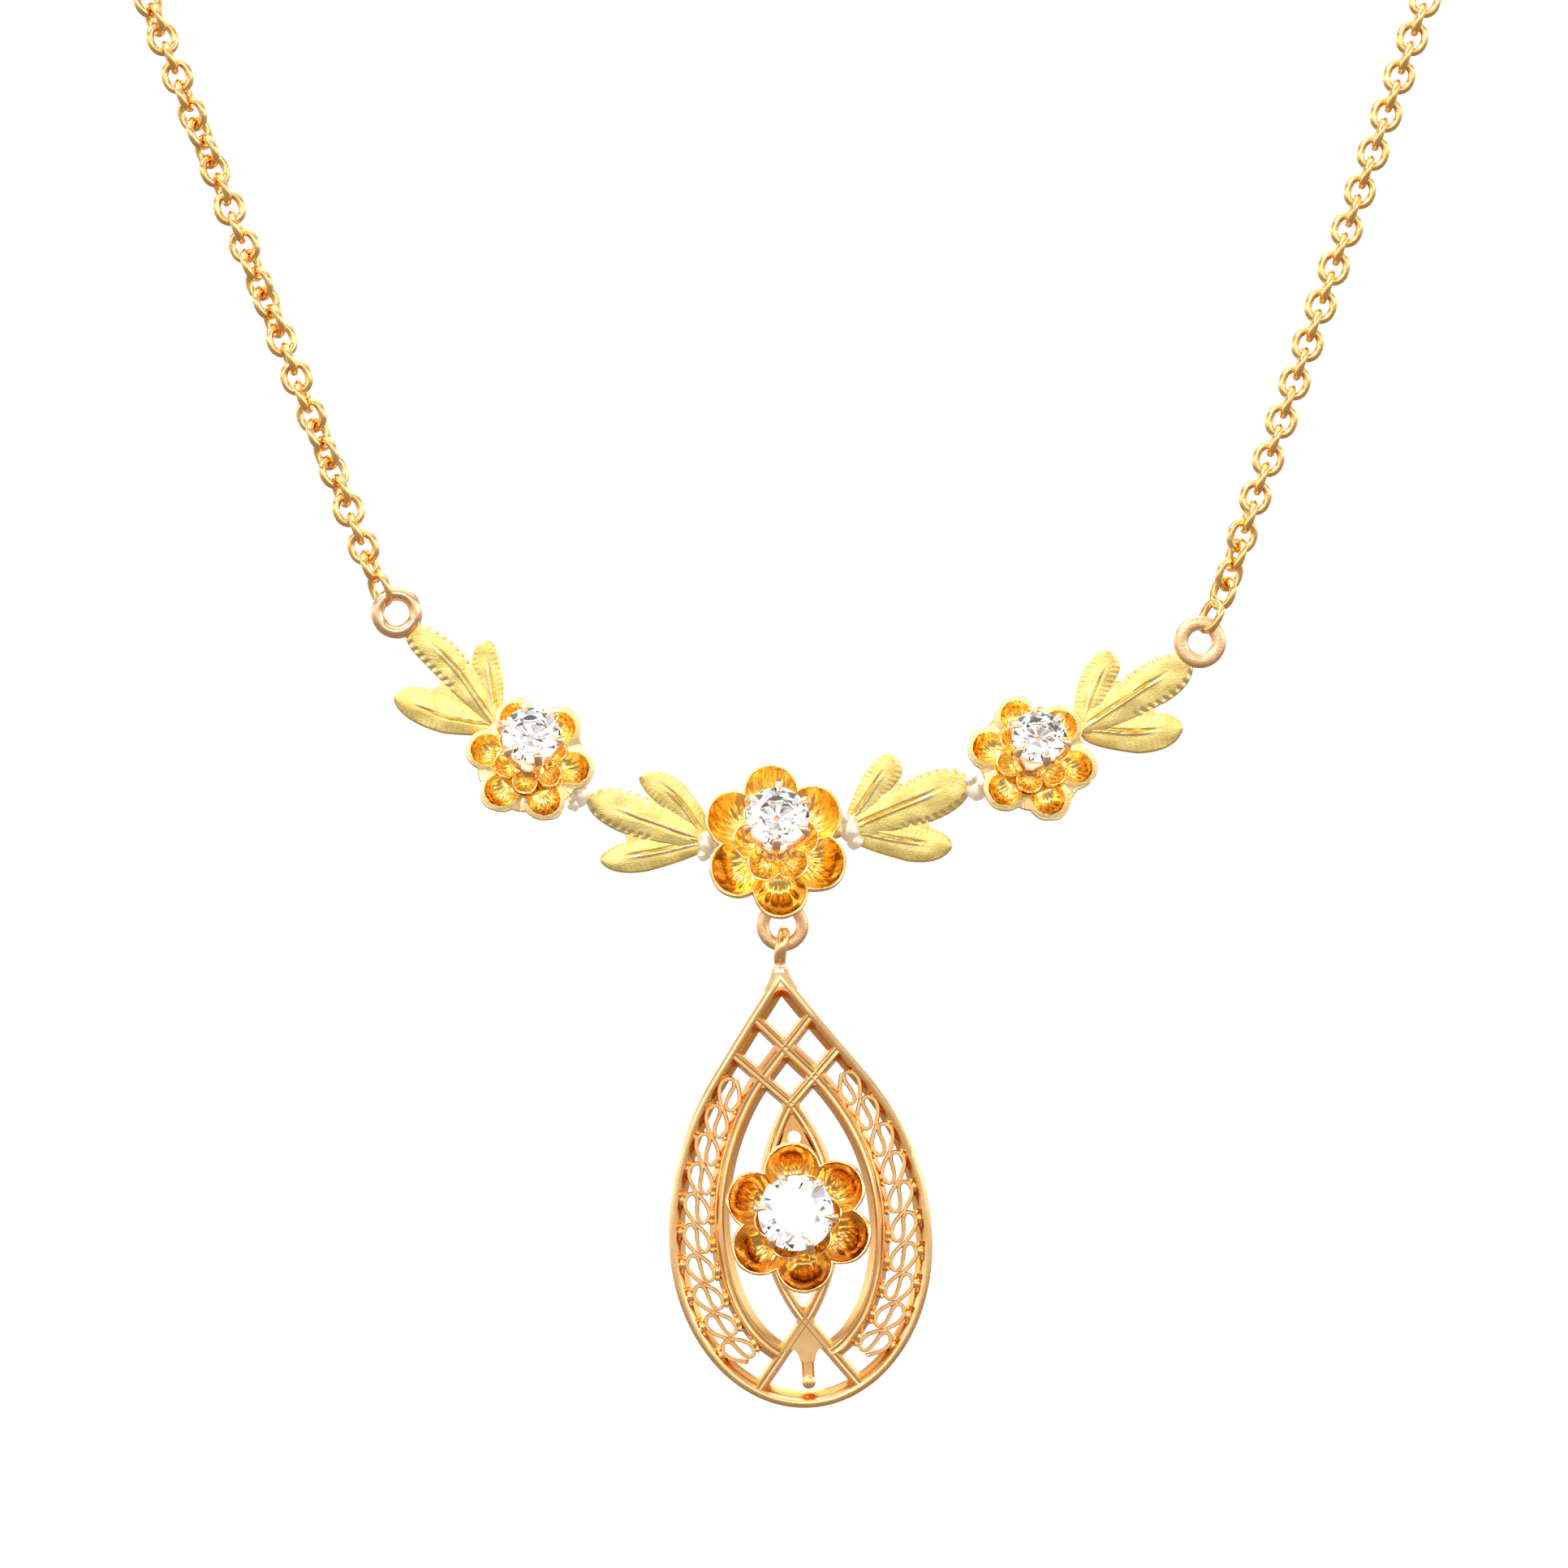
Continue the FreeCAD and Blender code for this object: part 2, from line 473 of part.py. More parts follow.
def make_drop_frame():
    front = -FRAME_DEPTH / 2
    parts = [teardrop_band(RIM, 0, RAIL_WIDTH, front, FRAME_DEPTH)]
    inner = teardrop_band(INNER_RAIL, BAR_WIDTH / 2, BAR_WIDTH / 2, front, FRAME_DEPTH)
    below_oval = [(0, OVAL_FOOT_Z), (-LEG_END[0] - 0.6, LEG_END[1] - 2), (LEG_END[0] + 0.6, LEG_END[1] - 2)]
    parts.append(inner.cut(plate(below_oval, -2, 4)))
    upper_crossing_z = teardrop_point(INNER_RAIL)
    upper_x, upper_z = rim_above(upper_crossing_z, INNER_RAIL["bend"])
    lower_x, lower_z = rim_above(LOWER_CROSSING_Z, LOWER_BAR_SLANT)
    for side in (-1, 1):
        leg_end = (side * LEG_END[0], LEG_END[1])
        parts.append(bar((0, upper_crossing_z), (side * upper_x, upper_z), BAR_WIDTH, front, FRAME_DEPTH))
        parts.append(bar((0, LOWER_CROSSING_Z), (side * lower_x, lower_z), BAR_WIDTH, front, FRAME_DEPTH))
        parts.append(bar((0, OVAL_FOOT_Z), leg_end, BAR_WIDTH, front, FRAME_DEPTH))
        bulge = side * OVAL_HALF
        parts.append(bowed_bar(LOWER_CROSSING_Z, OVAL_FOOT_Z, bulge, BAR_WIDTH, front, FRAME_DEPTH))
    hole = Part.makeCylinder(OVAL_WEB_HOLE["radius"], 3, V(0, -1, OVAL_WEB_HOLE["z"]), V(0, 1, 0))
    parts.append(plate(OVAL_WEB, -0.1, 0.5).cut(hole))
    parts.append(plate(LEG_WEB, front + 0.15, FRAME_DEPTH - 0.3))
    parts.append(Part.makeCylinder(PEG_RADIUS, PEG_TOP_Z - PEG_FOOT_Z, V(0, 0, PEG_FOOT_Z)))
    parts.append(Part.makeCylinder(PEG_RADIUS, 1.1, V(0, -0.75, PEG_FOOT_Z), V(0, 1, 0)))
    parts.append(Part.makeCylinder(COLLAR_RADIUS, FRAME_DEPTH, V(0, front, COLLAR_Z), V(0, 1, 0)))
    neck = COLLAR_Z + 0.35
    parts.append(Part.makeCone(COLLAR_RADIUS, COLLAR_RADIUS - 0.2, 0.75, V(0, 0, neck)))
    parts.append(Part.makeTorus(LOOP_RADIUS, LOOP_WIRE / 2, V(0, 0, LOOP_CENTRE_Z), V(1, 0, 0)))
    # the drop flower's post goes into a small cup in the middle of the pointed oval
    flower = FLOWERS["drop"]
    holder_centre = V(flower["x"], HOLDER_FRONT_Y, flower["z"])
    parts.append(Part.makeCylinder(HOLDER_RADIUS, HOLDER_DEPTH, holder_centre, V(0, 1, 0)))
    reach = OVAL_HALF + 0.1
    parts.append(bar((flower["x"] - reach, flower["z"]), (flower["x"] + reach, flower["z"]),
                     BAR_WIDTH, HOLDER_FRONT_Y, HOLDER_DEPTH))
    return fused(parts)


def make_filigree(side):
    # oval scrolls, each crossed by a slanted wire, along the line between rim and inner rail
    parts = []
    z = SCROLL_TOP_Z
    step = 0.02
    for number in range(SCROLL_COUNT):
        travelled = 0
        while number and travelled < SCROLL_PITCH:
            travelled += math.hypot(half_width(SCROLL_LINE, z - step) - half_width(SCROLL_LINE, z), step)
            z -= step
        x = half_width(SCROLL_LINE, z)
        angle = math.degrees(math.atan2(half_width(SCROLL_LINE, z - step) - x, step))
        parts.extend(scroll(side * x, z, -side * angle, -SCROLL_DEPTH / 2))
    return fused(parts)


def scroll(x, z, angle, front):
    centre = V(x, 0, z)
    along = SCROLL_PITCH / 2 + 0.04
    oval = Part.Ellipse(V(0, 0, along), V(SCROLL_HALF_WIDTH, 0, 0), V(0, 0, 0)).toShape()
    hole_half = SCROLL_HALF_WIDTH - SCROLL_WIRE
    hole = Part.Ellipse(V(0, 0, along - SCROLL_WIRE), V(hole_half, 0, 0), V(0, 0, 0)).toShape()
    solid = plate(Part.Wire(oval), front, SCROLL_DEPTH).cut(plate(Part.Wire(hole), front, SCROLL_DEPTH))
    slant = bar((-0.35, -along + 0.15), (0.35, along - 0.15), SCROLL_WIRE, front, SCROLL_DEPTH)
    bead = Part.makeSphere(0.2, V(0, front + 0.1, along - 0.05))
    made = []
    for piece in (solid, slant, bead):
        piece.rotate(V(0, 0, 0), V(0, 1, 0), angle)
        piece.translate(centre)
        made.append(piece)
    return made


pieces = {}
chain_length = 0
for side, end in GARLAND_ENDS.items():
    pieces["chain_" + side], length = make_chain(side)
    chain_length += length
    ring_centre = V(end["ring"][0], 0, end["ring"][1])
    pieces["end_ring_" + side] = ring(ring_centre, V(0, 1, 0), RING_HOLE, RING_WIRE)
pieces["clasp"] = make_clasp()
pieces["drop_ring"] = make_drop_ring()
for name, spray in SPRAYS.items():
    pieces["leaf_spray_" + name] = make_spray(spray)
for name, flower in FLOWERS.items():
    on_drop = name == "drop"
    pieces["drop_flower" if on_drop else "flower_" + name] = make_flower(flower)
    pieces["drop_setting" if on_drop else "setting_" + name] = make_setting(flower)
    pieces["drop_stone" if on_drop else "stone_" + name] = make_stone(flower)
pieces["drop_frame"] = make_drop_frame()
pieces["filigree_left"] = make_filigree(-1)
pieces["filigree_right"] = make_filigree(1)

garland = math.dist(GARLAND_ENDS["left"]["ring"], GARLAND_ENDS["right"]["ring"])
print("whole loop %.0f" % (chain_length + garland + CLASP_LENGTH + 4))

os.makedirs("parts", exist_ok=True)
for name, piece in pieces.items():
    piece.translate(-NAPE)
    print(name, "solids", len(piece.Solids), "valid", piece.isValid(), "volume %.3f" % piece.Volume)
    piece.exportStep("parts/" + name + ".step")
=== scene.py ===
import bpy
import bmesh
import math
from mathutils import Matrix, Vector, noise


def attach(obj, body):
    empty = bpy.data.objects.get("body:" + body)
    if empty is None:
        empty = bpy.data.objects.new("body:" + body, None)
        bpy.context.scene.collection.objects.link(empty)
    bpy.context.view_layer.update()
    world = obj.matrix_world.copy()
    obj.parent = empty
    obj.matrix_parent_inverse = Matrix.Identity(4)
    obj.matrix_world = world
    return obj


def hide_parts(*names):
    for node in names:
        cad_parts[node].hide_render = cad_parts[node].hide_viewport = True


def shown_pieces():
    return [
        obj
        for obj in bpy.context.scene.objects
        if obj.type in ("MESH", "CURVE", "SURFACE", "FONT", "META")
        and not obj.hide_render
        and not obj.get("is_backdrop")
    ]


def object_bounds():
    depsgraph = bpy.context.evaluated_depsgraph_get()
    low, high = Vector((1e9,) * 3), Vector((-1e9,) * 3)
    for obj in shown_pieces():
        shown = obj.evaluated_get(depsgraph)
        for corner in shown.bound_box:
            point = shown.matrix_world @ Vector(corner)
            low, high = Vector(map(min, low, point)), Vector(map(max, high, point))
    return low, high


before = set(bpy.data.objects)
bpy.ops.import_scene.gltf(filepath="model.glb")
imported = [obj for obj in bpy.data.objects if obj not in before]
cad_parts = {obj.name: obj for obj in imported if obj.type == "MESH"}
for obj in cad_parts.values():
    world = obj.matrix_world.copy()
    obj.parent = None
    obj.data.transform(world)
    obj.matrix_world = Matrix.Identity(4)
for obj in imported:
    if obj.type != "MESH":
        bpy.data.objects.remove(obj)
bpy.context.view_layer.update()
scene = bpy.context.scene

# everything is laid out in millimetres from the middle of the drop ring, front towards -Y,
# and moved to the frame's own origin, the nape, at the end
nape = Vector((4.0, 84.2, 135.0))
toFrame = Matrix.Scale(0.001, 4) @ Matrix.Translation(-nape)


# ---- metals


def setInputs(tree, node, inputs):
    # an input is given as a value or as another node's output
    for socket, value in inputs.items():
        if isinstance(value, bpy.types.NodeSocket):
            tree.links.new(value, node.inputs[socket])
        else:
            node.inputs[socket].default_value = value


def addNode(tree, kind, inputs=None, **settings):
    node = tree.nodes.new(kind)
    for setting, value in settings.items():
        setattr(node, setting, value)
    setInputs(tree, node, inputs or {})
    return node


def shaded(name, inputs):
    mat = bpy.data.materials.new(name)
    mat.use_nodes = True
    setInputs(mat.node_tree, mat.node_tree.nodes["Principled BSDF"], inputs)
    return mat


def metal(name, look):
    mat = shaded(name, {"Metallic": look.get("metallic", 1.0)})
    tree = mat.node_tree
    coords = addNode(tree, "ShaderNodeTexCoord")

    def noiseOf(scale, detail):
        return addNode(tree, "ShaderNodeTexNoise", {
            "Vector": coords.outputs["Object"], "Scale": scale, "Detail": detail}).outputs["Fac"]

    def spread(value, low, high, outLow, outHigh):
        return addNode(tree, "ShaderNodeMapRange", {
            "Value": value, "From Min": low, "From Max": high,
            "To Min": outLow, "To Max": outHigh}).outputs["Result"]

    def mixColour(factor, first, second):
        return addNode(tree, "ShaderNodeMix", {"Factor": factor, 6: first, 7: second},
                       data_type="RGBA").outputs[2]

    patches = spread(noiseOf(look["patchScale"], 3), 0.35, 0.65, 0, 1)
    colour = mixColour(patches, (*look["colour"], 1), (*look["patch"], 1))
    rough = spread(noiseOf(look["patchScale"] * 2.3, 2), 0.3, 0.7, *look["rough"])
    if "paintedLightMask" in look:  # an attribute of the mesh paints light into the colour: painted shade in hollows and on side walls, painted highlight on cut marks and edges; it sets the roughness there too
        paintedLightMask = addNode(tree, "ShaderNodeAttribute", attribute_name=look["paintedLightMask"]).outputs["Fac"]
        colour = mixColour(paintedLightMask, colour, (*look["paintedLightColour"], 1))
        rough = addNode(tree, "ShaderNodeMix", {
            "Factor": paintedLightMask, 2: rough, 3: look["markRough"]}).outputs[0]
    bump = addNode(tree, "ShaderNodeBump", {
        "Strength": look["grain"], "Distance": look["grainDepth"],
        "Height": noiseOf(look["grainScale"], 2)})
    setInputs(tree, tree.nodes["Principled BSDF"], {
        "Base Color": colour, "Roughness": rough, "Normal": bump.outputs["Normal"]})
    return mat


chainGold = metal("chainGold", {
    "colour": (1.0, 0.66, 0.28), "patch": (0.97, 0.58, 0.20), "patchScale": 900, "rough": (0.08, 0.16),
    "grainScale": 2500, "grain": 0.25, "grainDepth": 0.00003})
roseGold = metal("roseGold", {
    "colour": (0.97, 0.64, 0.40), "patch": (0.92, 0.56, 0.31), "patchScale": 1400, "rough": (0.12, 0.26),
    "grainScale": 3000, "grain": 0.25, "grainDepth": 0.00002})
satinRose = metal("satinRose", {
    "colour": (0.96, 0.63, 0.38), "patch": (0.89, 0.54, 0.29), "patchScale": 1500, "rough": (0.24, 0.38),
    "grainScale": 9000, "grain": 0.5, "grainDepth": 0.00003})
# the petal hollows are painted a deeper orange: painted shade and inter-reflection in the cups
petalGold = metal("petalGold", {
    "colour": (1.0, 0.76, 0.38), "patch": (0.98, 0.68, 0.26), "patchScale": 900, "rough": (0.10, 0.22),
    "paintedLightMask": "paintedHollowShade", "paintedLightColour": (1.0, 0.68, 0.19), "markRough": 0.17,
    "grainScale": 3500, "grain": 0.35, "grainDepth": 0.00004})
# the drop's petal hollows are painted darker brown: painted shade in the cups
dropPetalGold = metal("dropPetalGold", {
    "colour": (0.98, 0.70, 0.36), "patch": (0.96, 0.64, 0.26), "patchScale": 900, "rough": (0.09, 0.18),
    "paintedLightMask": "paintedHollowShade", "paintedLightColour": (0.78, 0.45, 0.13), "markRough": 0.13,
    "grainScale": 3500, "grain": 0.30, "grainDepth": 0.00004})
# veins, nicks and leaf rims are painted paler: painted highlight; the lower roughness there is real polish
leafGold = metal("leafGold", {
    "colour": (0.97, 0.78, 0.30), "patch": (0.88, 0.67, 0.20), "patchScale": 1300, "rough": (0.24, 0.38),
    "paintedLightMask": "polishAndPaintedHighlight", "paintedLightColour": (1.0, 0.88, 0.58), "markRough": 0.12,
    "grainScale": 13000, "grain": 1.0, "grainDepth": 0.00002})
settingGold = metal("settingGold", {
    "colour": (0.95, 0.68, 0.46), "patch": (0.90, 0.60, 0.38), "patchScale": 1500, "rough": (0.10, 0.22),
    "grainScale": 5000, "grain": 0.25, "grainDepth": 0.00002})
# the frame's side walls and recesses are painted darker amber: painted shade
frameGold = metal("frameGold", {
    "colour": (1.0, 0.66, 0.33), "patch": (0.98, 0.60, 0.25), "patchScale": 900, "rough": (0.13, 0.24),
    "paintedLightMask": "paintedWallShade", "paintedLightColour": (0.85, 0.42, 0.10), "markRough": 0.20,
    "grainScale": 4000, "grain": 0.25, "grainDepth": 0.000015})
filigreeGold = metal("filigreeGold", {
    "colour": (1.0, 0.68, 0.32), "patch": (0.98, 0.60, 0.22), "patchScale": 1500, "rough": (0.12, 0.24),
    "grainScale": 5000, "grain": 0.2, "grainDepth": 0.000012})
paleSolder = metal("paleSolder", {
    "colour": (0.98, 0.90, 0.78), "patch": (0.93, 0.80, 0.62), "patchScale": 2500, "rough": (0.28, 0.42),
    "metallic": 0.7,
    "grainScale": 3000, "grain": 0.4, "grainDepth": 0.00003})
diamond = shaded("diamond", {"Base Color": (0.93, 0.93, 0.945, 1), "Roughness": 0.0, "IOR": 2.2,
                             "Transmission Weight": 1.0})
print("metals ready")


# ---- how pieces are made


sharpEdge = math.radians(38)


def newMesh(name, bm):
    # edges where two faces meet sharply stay crisp, the rest is shaded smooth
    bmesh.ops.recalc_face_normals(bm, faces=bm.faces)
    for face in bm.faces:
        face.smooth = True
    for edge in bm.edges:
        if len(edge.link_faces) == 2 and edge.calc_face_angle(0) > sharpEdge:
            edge.smooth = False
    mesh = bpy.data.meshes.new(name)
    bm.to_mesh(mesh)
    bm.free()
    return mesh


def addPiece(name, mesh, material, body, nodes=()):
    mesh.transform(toFrame)
    mesh.materials.clear()
    mesh.materials.append(material)
    piece = bpy.data.objects.new(name, mesh)
    scene.collection.objects.link(piece)
    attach(piece, body)
    if nodes:
        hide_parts(*nodes)
    return piece


def newTree(name, inputs):
    # a node tree that takes the inputs and gives one mesh
    tree = bpy.data.node_groups.new(name, "GeometryNodeTree")
    for label, kind in inputs.items():
        tree.interface.new_socket(name=label, in_out="INPUT", socket_type="NodeSocket" + kind)
    tree.interface.new_socket(name="Mesh", in_out="OUTPUT", socket_type="NodeSocketGeometry")
    return tree, tree.nodes.new("NodeGroupInput").outputs


def finishTree(tree, copies, material):
    realize = addNode(tree, "GeometryNodeRealizeInstances", {"Geometry": copies})
    paint = addNode(tree, "GeometryNodeSetMaterial", {
        "Geometry": realize.outputs["Geometry"], "Material": material})
    addNode(tree, "NodeGroupOutput", {"Mesh": paint.outputs["Geometry"]})
    return tree


def repeatTree():
    # puts a unit on each point of a mesh, turned by its "turn" and scaled by its "size"
    tree, given = newTree("unitOnPoints", {"Points": "Geometry", "Unit": "Object", "Metal": "Material"})
    unit = addNode(tree, "GeometryNodeObjectInfo", {"Object": given["Unit"]})
    turn, size = [addNode(tree, "GeometryNodeInputNamedAttribute", {"Name": name},
                          data_type="FLOAT_VECTOR").outputs["Attribute"] for name in ("turn", "size")]
    onPoints = addNode(tree, "GeometryNodeInstanceOnPoints", {
        "Points": given["Points"], "Instance": unit.outputs["Geometry"], "Rotation": turn, "Scale": size})
    return finishTree(tree, onPoints.outputs["Instances"], given["Metal"])


def linksTree():
    # links along a route, each about a quarter turn from the one before
    tree, given = newTree("linksAlongRoute", {
        "Route": "Geometry", "Link": "Object", "Pitch": "Float", "First Turn": "Float",
        "Turn Per Link": "Float", "End Twist": "Float", "End Links": "Float", "From Link": "Int",
        "To Link": "Int", "Metal": "Material"})
    curve = addNode(tree, "GeometryNodeMeshToCurve", {"Mesh": given["Route"]})
    points = addNode(tree, "GeometryNodeResampleCurve", {}, mode="LENGTH")
    setInputs(tree, points, {"Curve": curve.outputs["Curve"], "Length": given["Pitch"]})
    index = addNode(tree, "GeometryNodeInputIndex").outputs[0]

    def calc(operation, first, second):
        return addNode(tree, "ShaderNodeMath", {0: first, 1: second}, operation=operation).outputs[0]

    def compare(operation, limit):
        return addNode(tree, "FunctionNodeCompare", {2: index, 3: given[limit]},
                       data_type="INT", operation=operation).outputs[0]

    steady = calc("MULTIPLY", index, given["Turn Per Link"])
    nearRing = calc("MAXIMUM", calc("SUBTRACT", given["End Links"], index), 0.0)
    extra = calc("MULTIPLY", nearRing, given["End Twist"])
    angle = calc("ADD", calc("ADD", steady, extra), given["First Turn"])
    axes = addNode(tree, "FunctionNodeAxesToRotation", {
        "Primary Axis": addNode(tree, "GeometryNodeInputTangent").outputs[0],
        "Secondary Axis": addNode(tree, "GeometryNodeInputNormal").outputs[0]},
        primary_axis="Z", secondary_axis="X")
    roll = addNode(tree, "FunctionNodeAxisAngleToRotation", {"Axis": (0, 0, 1), "Angle": angle})
    turned = addNode(tree, "FunctionNodeRotateRotation", {
        "Rotation": axes.outputs["Rotation"], "Rotate By": roll.outputs["Rotation"]},
        rotation_space="LOCAL")
    chosen = addNode(tree, "FunctionNodeBooleanMath", {
        0: compare("GREATER_EQUAL", "From Link"), 1: compare("LESS_THAN", "To Link")}, operation="AND")
    unit = addNode(tree, "GeometryNodeObjectInfo", {"Object": given["Link"]})
    onPoints = addNode(tree, "GeometryNodeInstanceOnPoints", {
        "Points": points.outputs["Curve"], "Selection": chosen.outputs[0],
        "Instance": unit.outputs["Geometry"], "Rotation": turned.outputs["Rotation"]})
    return finishTree(tree, onPoints.outputs["Instances"], given["Metal"])


unitOnPoints = repeatTree()
linksAlongRoute = linksTree()


def grow(base, tree, values):
    # runs a node tree on a mesh and gives back the plain mesh that it makes
    holder = bpy.data.objects.new("holder", base)
    scene.collection.objects.link(holder)
    modifier = holder.modifiers.new("grow", "NODES")
    modifier.node_group = tree
    for item in tree.interface.items_tree:
        if item.name in values:
            modifier[item.identifier] = values[item.name]
    bpy.context.view_layer.update()
    evaluated = holder.evaluated_get(bpy.context.evaluated_depsgraph_get())
    mesh = bpy.data.meshes.new_from_object(evaluated)
    holder.modifiers.remove(modifier)
    bpy.data.objects.remove(holder)
    return mesh


def unitObject(name, mesh):
    unit = bpy.data.objects.new(name, mesh)
    scene.collection.objects.link(unit)
    return unit


def repeatUnit(name, unitMesh, places, material):
    # places are matrices without shear
    points = bpy.data.meshes.new(name + "Points")
    points.from_pydata([place.translation for place in places], [], [])
    turn = points.attributes.new("turn", "FLOAT_VECTOR", "POINT")
    size = points.attributes.new("size", "FLOAT_VECTOR", "POINT")
    for number, place in enumerate(places):
        turn.data[number].vector = place.to_euler()
        size.data[number].vector = place.to_scale()
    unit = unitObject(name + "Unit", unitMesh)
    mesh = grow(points, unitOnPoints, {"Unit": unit, "Metal": material})
    bpy.data.objects.remove(unit)
    return mesh


def joined(meshes):
    bm = bmesh.new()
    for mesh in meshes:
        bm.from_mesh(mesh)
    mesh = bpy.data.meshes.new("joined")
    bm.to_mesh(mesh)
    bm.free()
    return mesh


def smoothStep(low, high, value):
    part = min(1.0, max(0.0, (value - low) / (high - low)))
    return part * part * (3 - 2 * part)


def smoothLine(points, steps):
    # a Catmull-Rom line through the points
    ends = [points[0] * 2 - points[1]] + list(points) + [points[-1] * 2 - points[-2]]
    line = []
    for a, b, c, d in zip(ends, ends[1:], ends[2:], ends[3:]):
        for step in range(steps):
            t = step / steps
            line.append(0.5 * (2 * b + (c - a) * t + (2 * a - 5 * b + 4 * c - d) * t ** 2
                               + (3 * b - a - 3 * c + d) * t ** 3))
    line.append(points[-1].copy())
    return line


def circle(count):
    # cosine and sine at equal steps once round
    angles = [2 * math.pi * k / count for k in range(count)]
    return [(math.cos(angle), math.sin(angle)) for angle in angles]


def layer(bm, name):
    return bm.verts.layers.float.get(name) or bm.verts.layers.float.new(name)


def bridge(bm, rings, closedAlong=False, caps=True):
    # skins rings of equal length one after another
    following = rings[1:] + rings[:1] if closedAlong else rings[1:]
    for first, second in zip(rings, following):
        for k in range(len(first)):
            bm.faces.new((first[k - 1], first[k], second[k], second[k - 1]))
    if caps and not closedAlong:
        bm.faces.new(rings[0])
        bm.faces.new(rings[-1])


aboutX = Matrix(((0, 0, 1, 0), (1, 0, 0, 0), (0, 1, 0, 0), (0, 0, 0, 1)))
aboutY = Matrix(((1, 0, 0, 0), (0, 0, 1, 0), (0, 1, 0, 0), (0, 0, 0, 1)))


def lathe(bm, place, profile, sides, closedAlong=False, caps=True):
    # turns a profile of (radius, height) about the place's own Z axis
    rings = [[bm.verts.new(place @ Vector((x * radius, z * radius, height))) for x, z in circle(sides)]
             for radius, height in profile]
    bridge(bm, rings, closedAlong, caps)


def sweepRound(bm, line, radii, sides=10, closed=False, wallShadeAmount=0.0, reference=Vector((0, 1, 0))):
    # a round wire along a line in space, with the amount of painted shade given in its colour
    paintedWallShade = layer(bm, "paintedWallShade")
    rings = []
    count = len(line)
    for i, at in enumerate(line):
        before = line[i - 1] if i > 0 or closed else at
        after = line[(i + 1) % count] if i < count - 1 or closed else at
        along = (after - before).normalized()
        side = along.cross(reference)
        if side.length < 0.05:
            side = along.cross(Vector((1, 0, 0)))
        side.normalize()
        up = side.cross(along)
        radius = radii[i] if isinstance(radii, list) else radii
        ring = [bm.verts.new(at + side * x * radius + up * y * radius) for x, y in circle(sides)]
        for vert in ring:
            vert[paintedWallShade] = wallShadeAmount
        rings.append(ring)
    bridge(bm, rings, closedAlong=closed)


def blob(bm, centre, radii, seed, rough=0.15, detail=2):
    # a small uneven lump of solder
    made = bmesh.ops.create_icosphere(bm, subdivisions=detail, radius=1)
    for vert in made["verts"]:
        swell = 1 + rough * noise.noise(vert.co * 1.7 + Vector((seed, 0, 0)))
        vert.co = Vector(vert.co[k] * radii[k] * swell for k in range(3)) + Vector(centre)


print("tools ready")

# ---- the chain

chainLook = {
    "pitch": 1.24, "length": 2.24, "width": 2.0, "wire": 0.5, "frontLinks": 44, "allLinks": 1000,
    "left": {
        "ringLink": (-23.55, 22.13), "ringLinkTurn": 38,
        "start": (-24.05, 0, 23.55), "straight": (-27.98, 0, 35.5), "corner": (-41.2, 0, 75.5),
        "hidden": [(-51.4, 15.0, 107.6), (-54.6, 42.8, 123.0), (-41.8, 68.8, 131.0), (-21.0, 83.6, 134.8)],
        "end": (-1.99, 85.5, 135.0), "firstTurn": 68, "turnPerLink": 101, "endTwist": 0, "endLinks": 0},
    "right": {
        "ringLink": (27.45, 17.50), "ringLinkTurn": 35,
        "start": (28.245, 0, 18.86), "straight": (32.60, 0, 29.6), "corner": (48.9, 0, 69.5),
        "hidden": [(60.0, 15.0, 102.6), (63.0, 42.8, 121.0), (49.8, 68.8, 130.5), (29.0, 83.6, 134.8)],
        "end": (9.99, 85.5, 135.0), "firstTurn": 90, "turnPerLink": 90, "endTwist": 9, "endLinks": 5},
}


def linkMesh(name, around, wireSides, length, width, wire):
    # a round-oval link, its length along Z and its hole along X
    bow = (width - wire) / 2
    straight = (length - width) / 2
    line = []
    for z, y in circle(around):
        stretch = math.copysign(straight, z) * min(1, abs(z) * 3)
        line.append(Vector((0, bow * y, bow * z + stretch)))
    bm = bmesh.new()
    sweepRound(bm, line, wire / 2, sides=wireSides, closed=True, reference=Vector((1, 0, 0)))
    return newMesh(name, bm)


def routeMesh(points):
    curve = bpy.data.curves.new("route", "CURVE")
    curve.dimensions = "3D"
    spline = curve.splines.new("NURBS")
    spline.points.add(len(points) - 1)
    for point, at in zip(spline.points, points):
        point.co = (*at, 1)
    spline.order_u = 3
    spline.use_endpoint_u = True
    spline.resolution_u = 24
    holder = bpy.data.objects.new("route", curve)
    scene.collection.objects.link(holder)
    bpy.context.view_layer.update()
    mesh = bpy.data.meshes.new_from_object(holder.evaluated_get(bpy.context.evaluated_depsgraph_get()))
    bpy.data.objects.remove(holder)
    return mesh


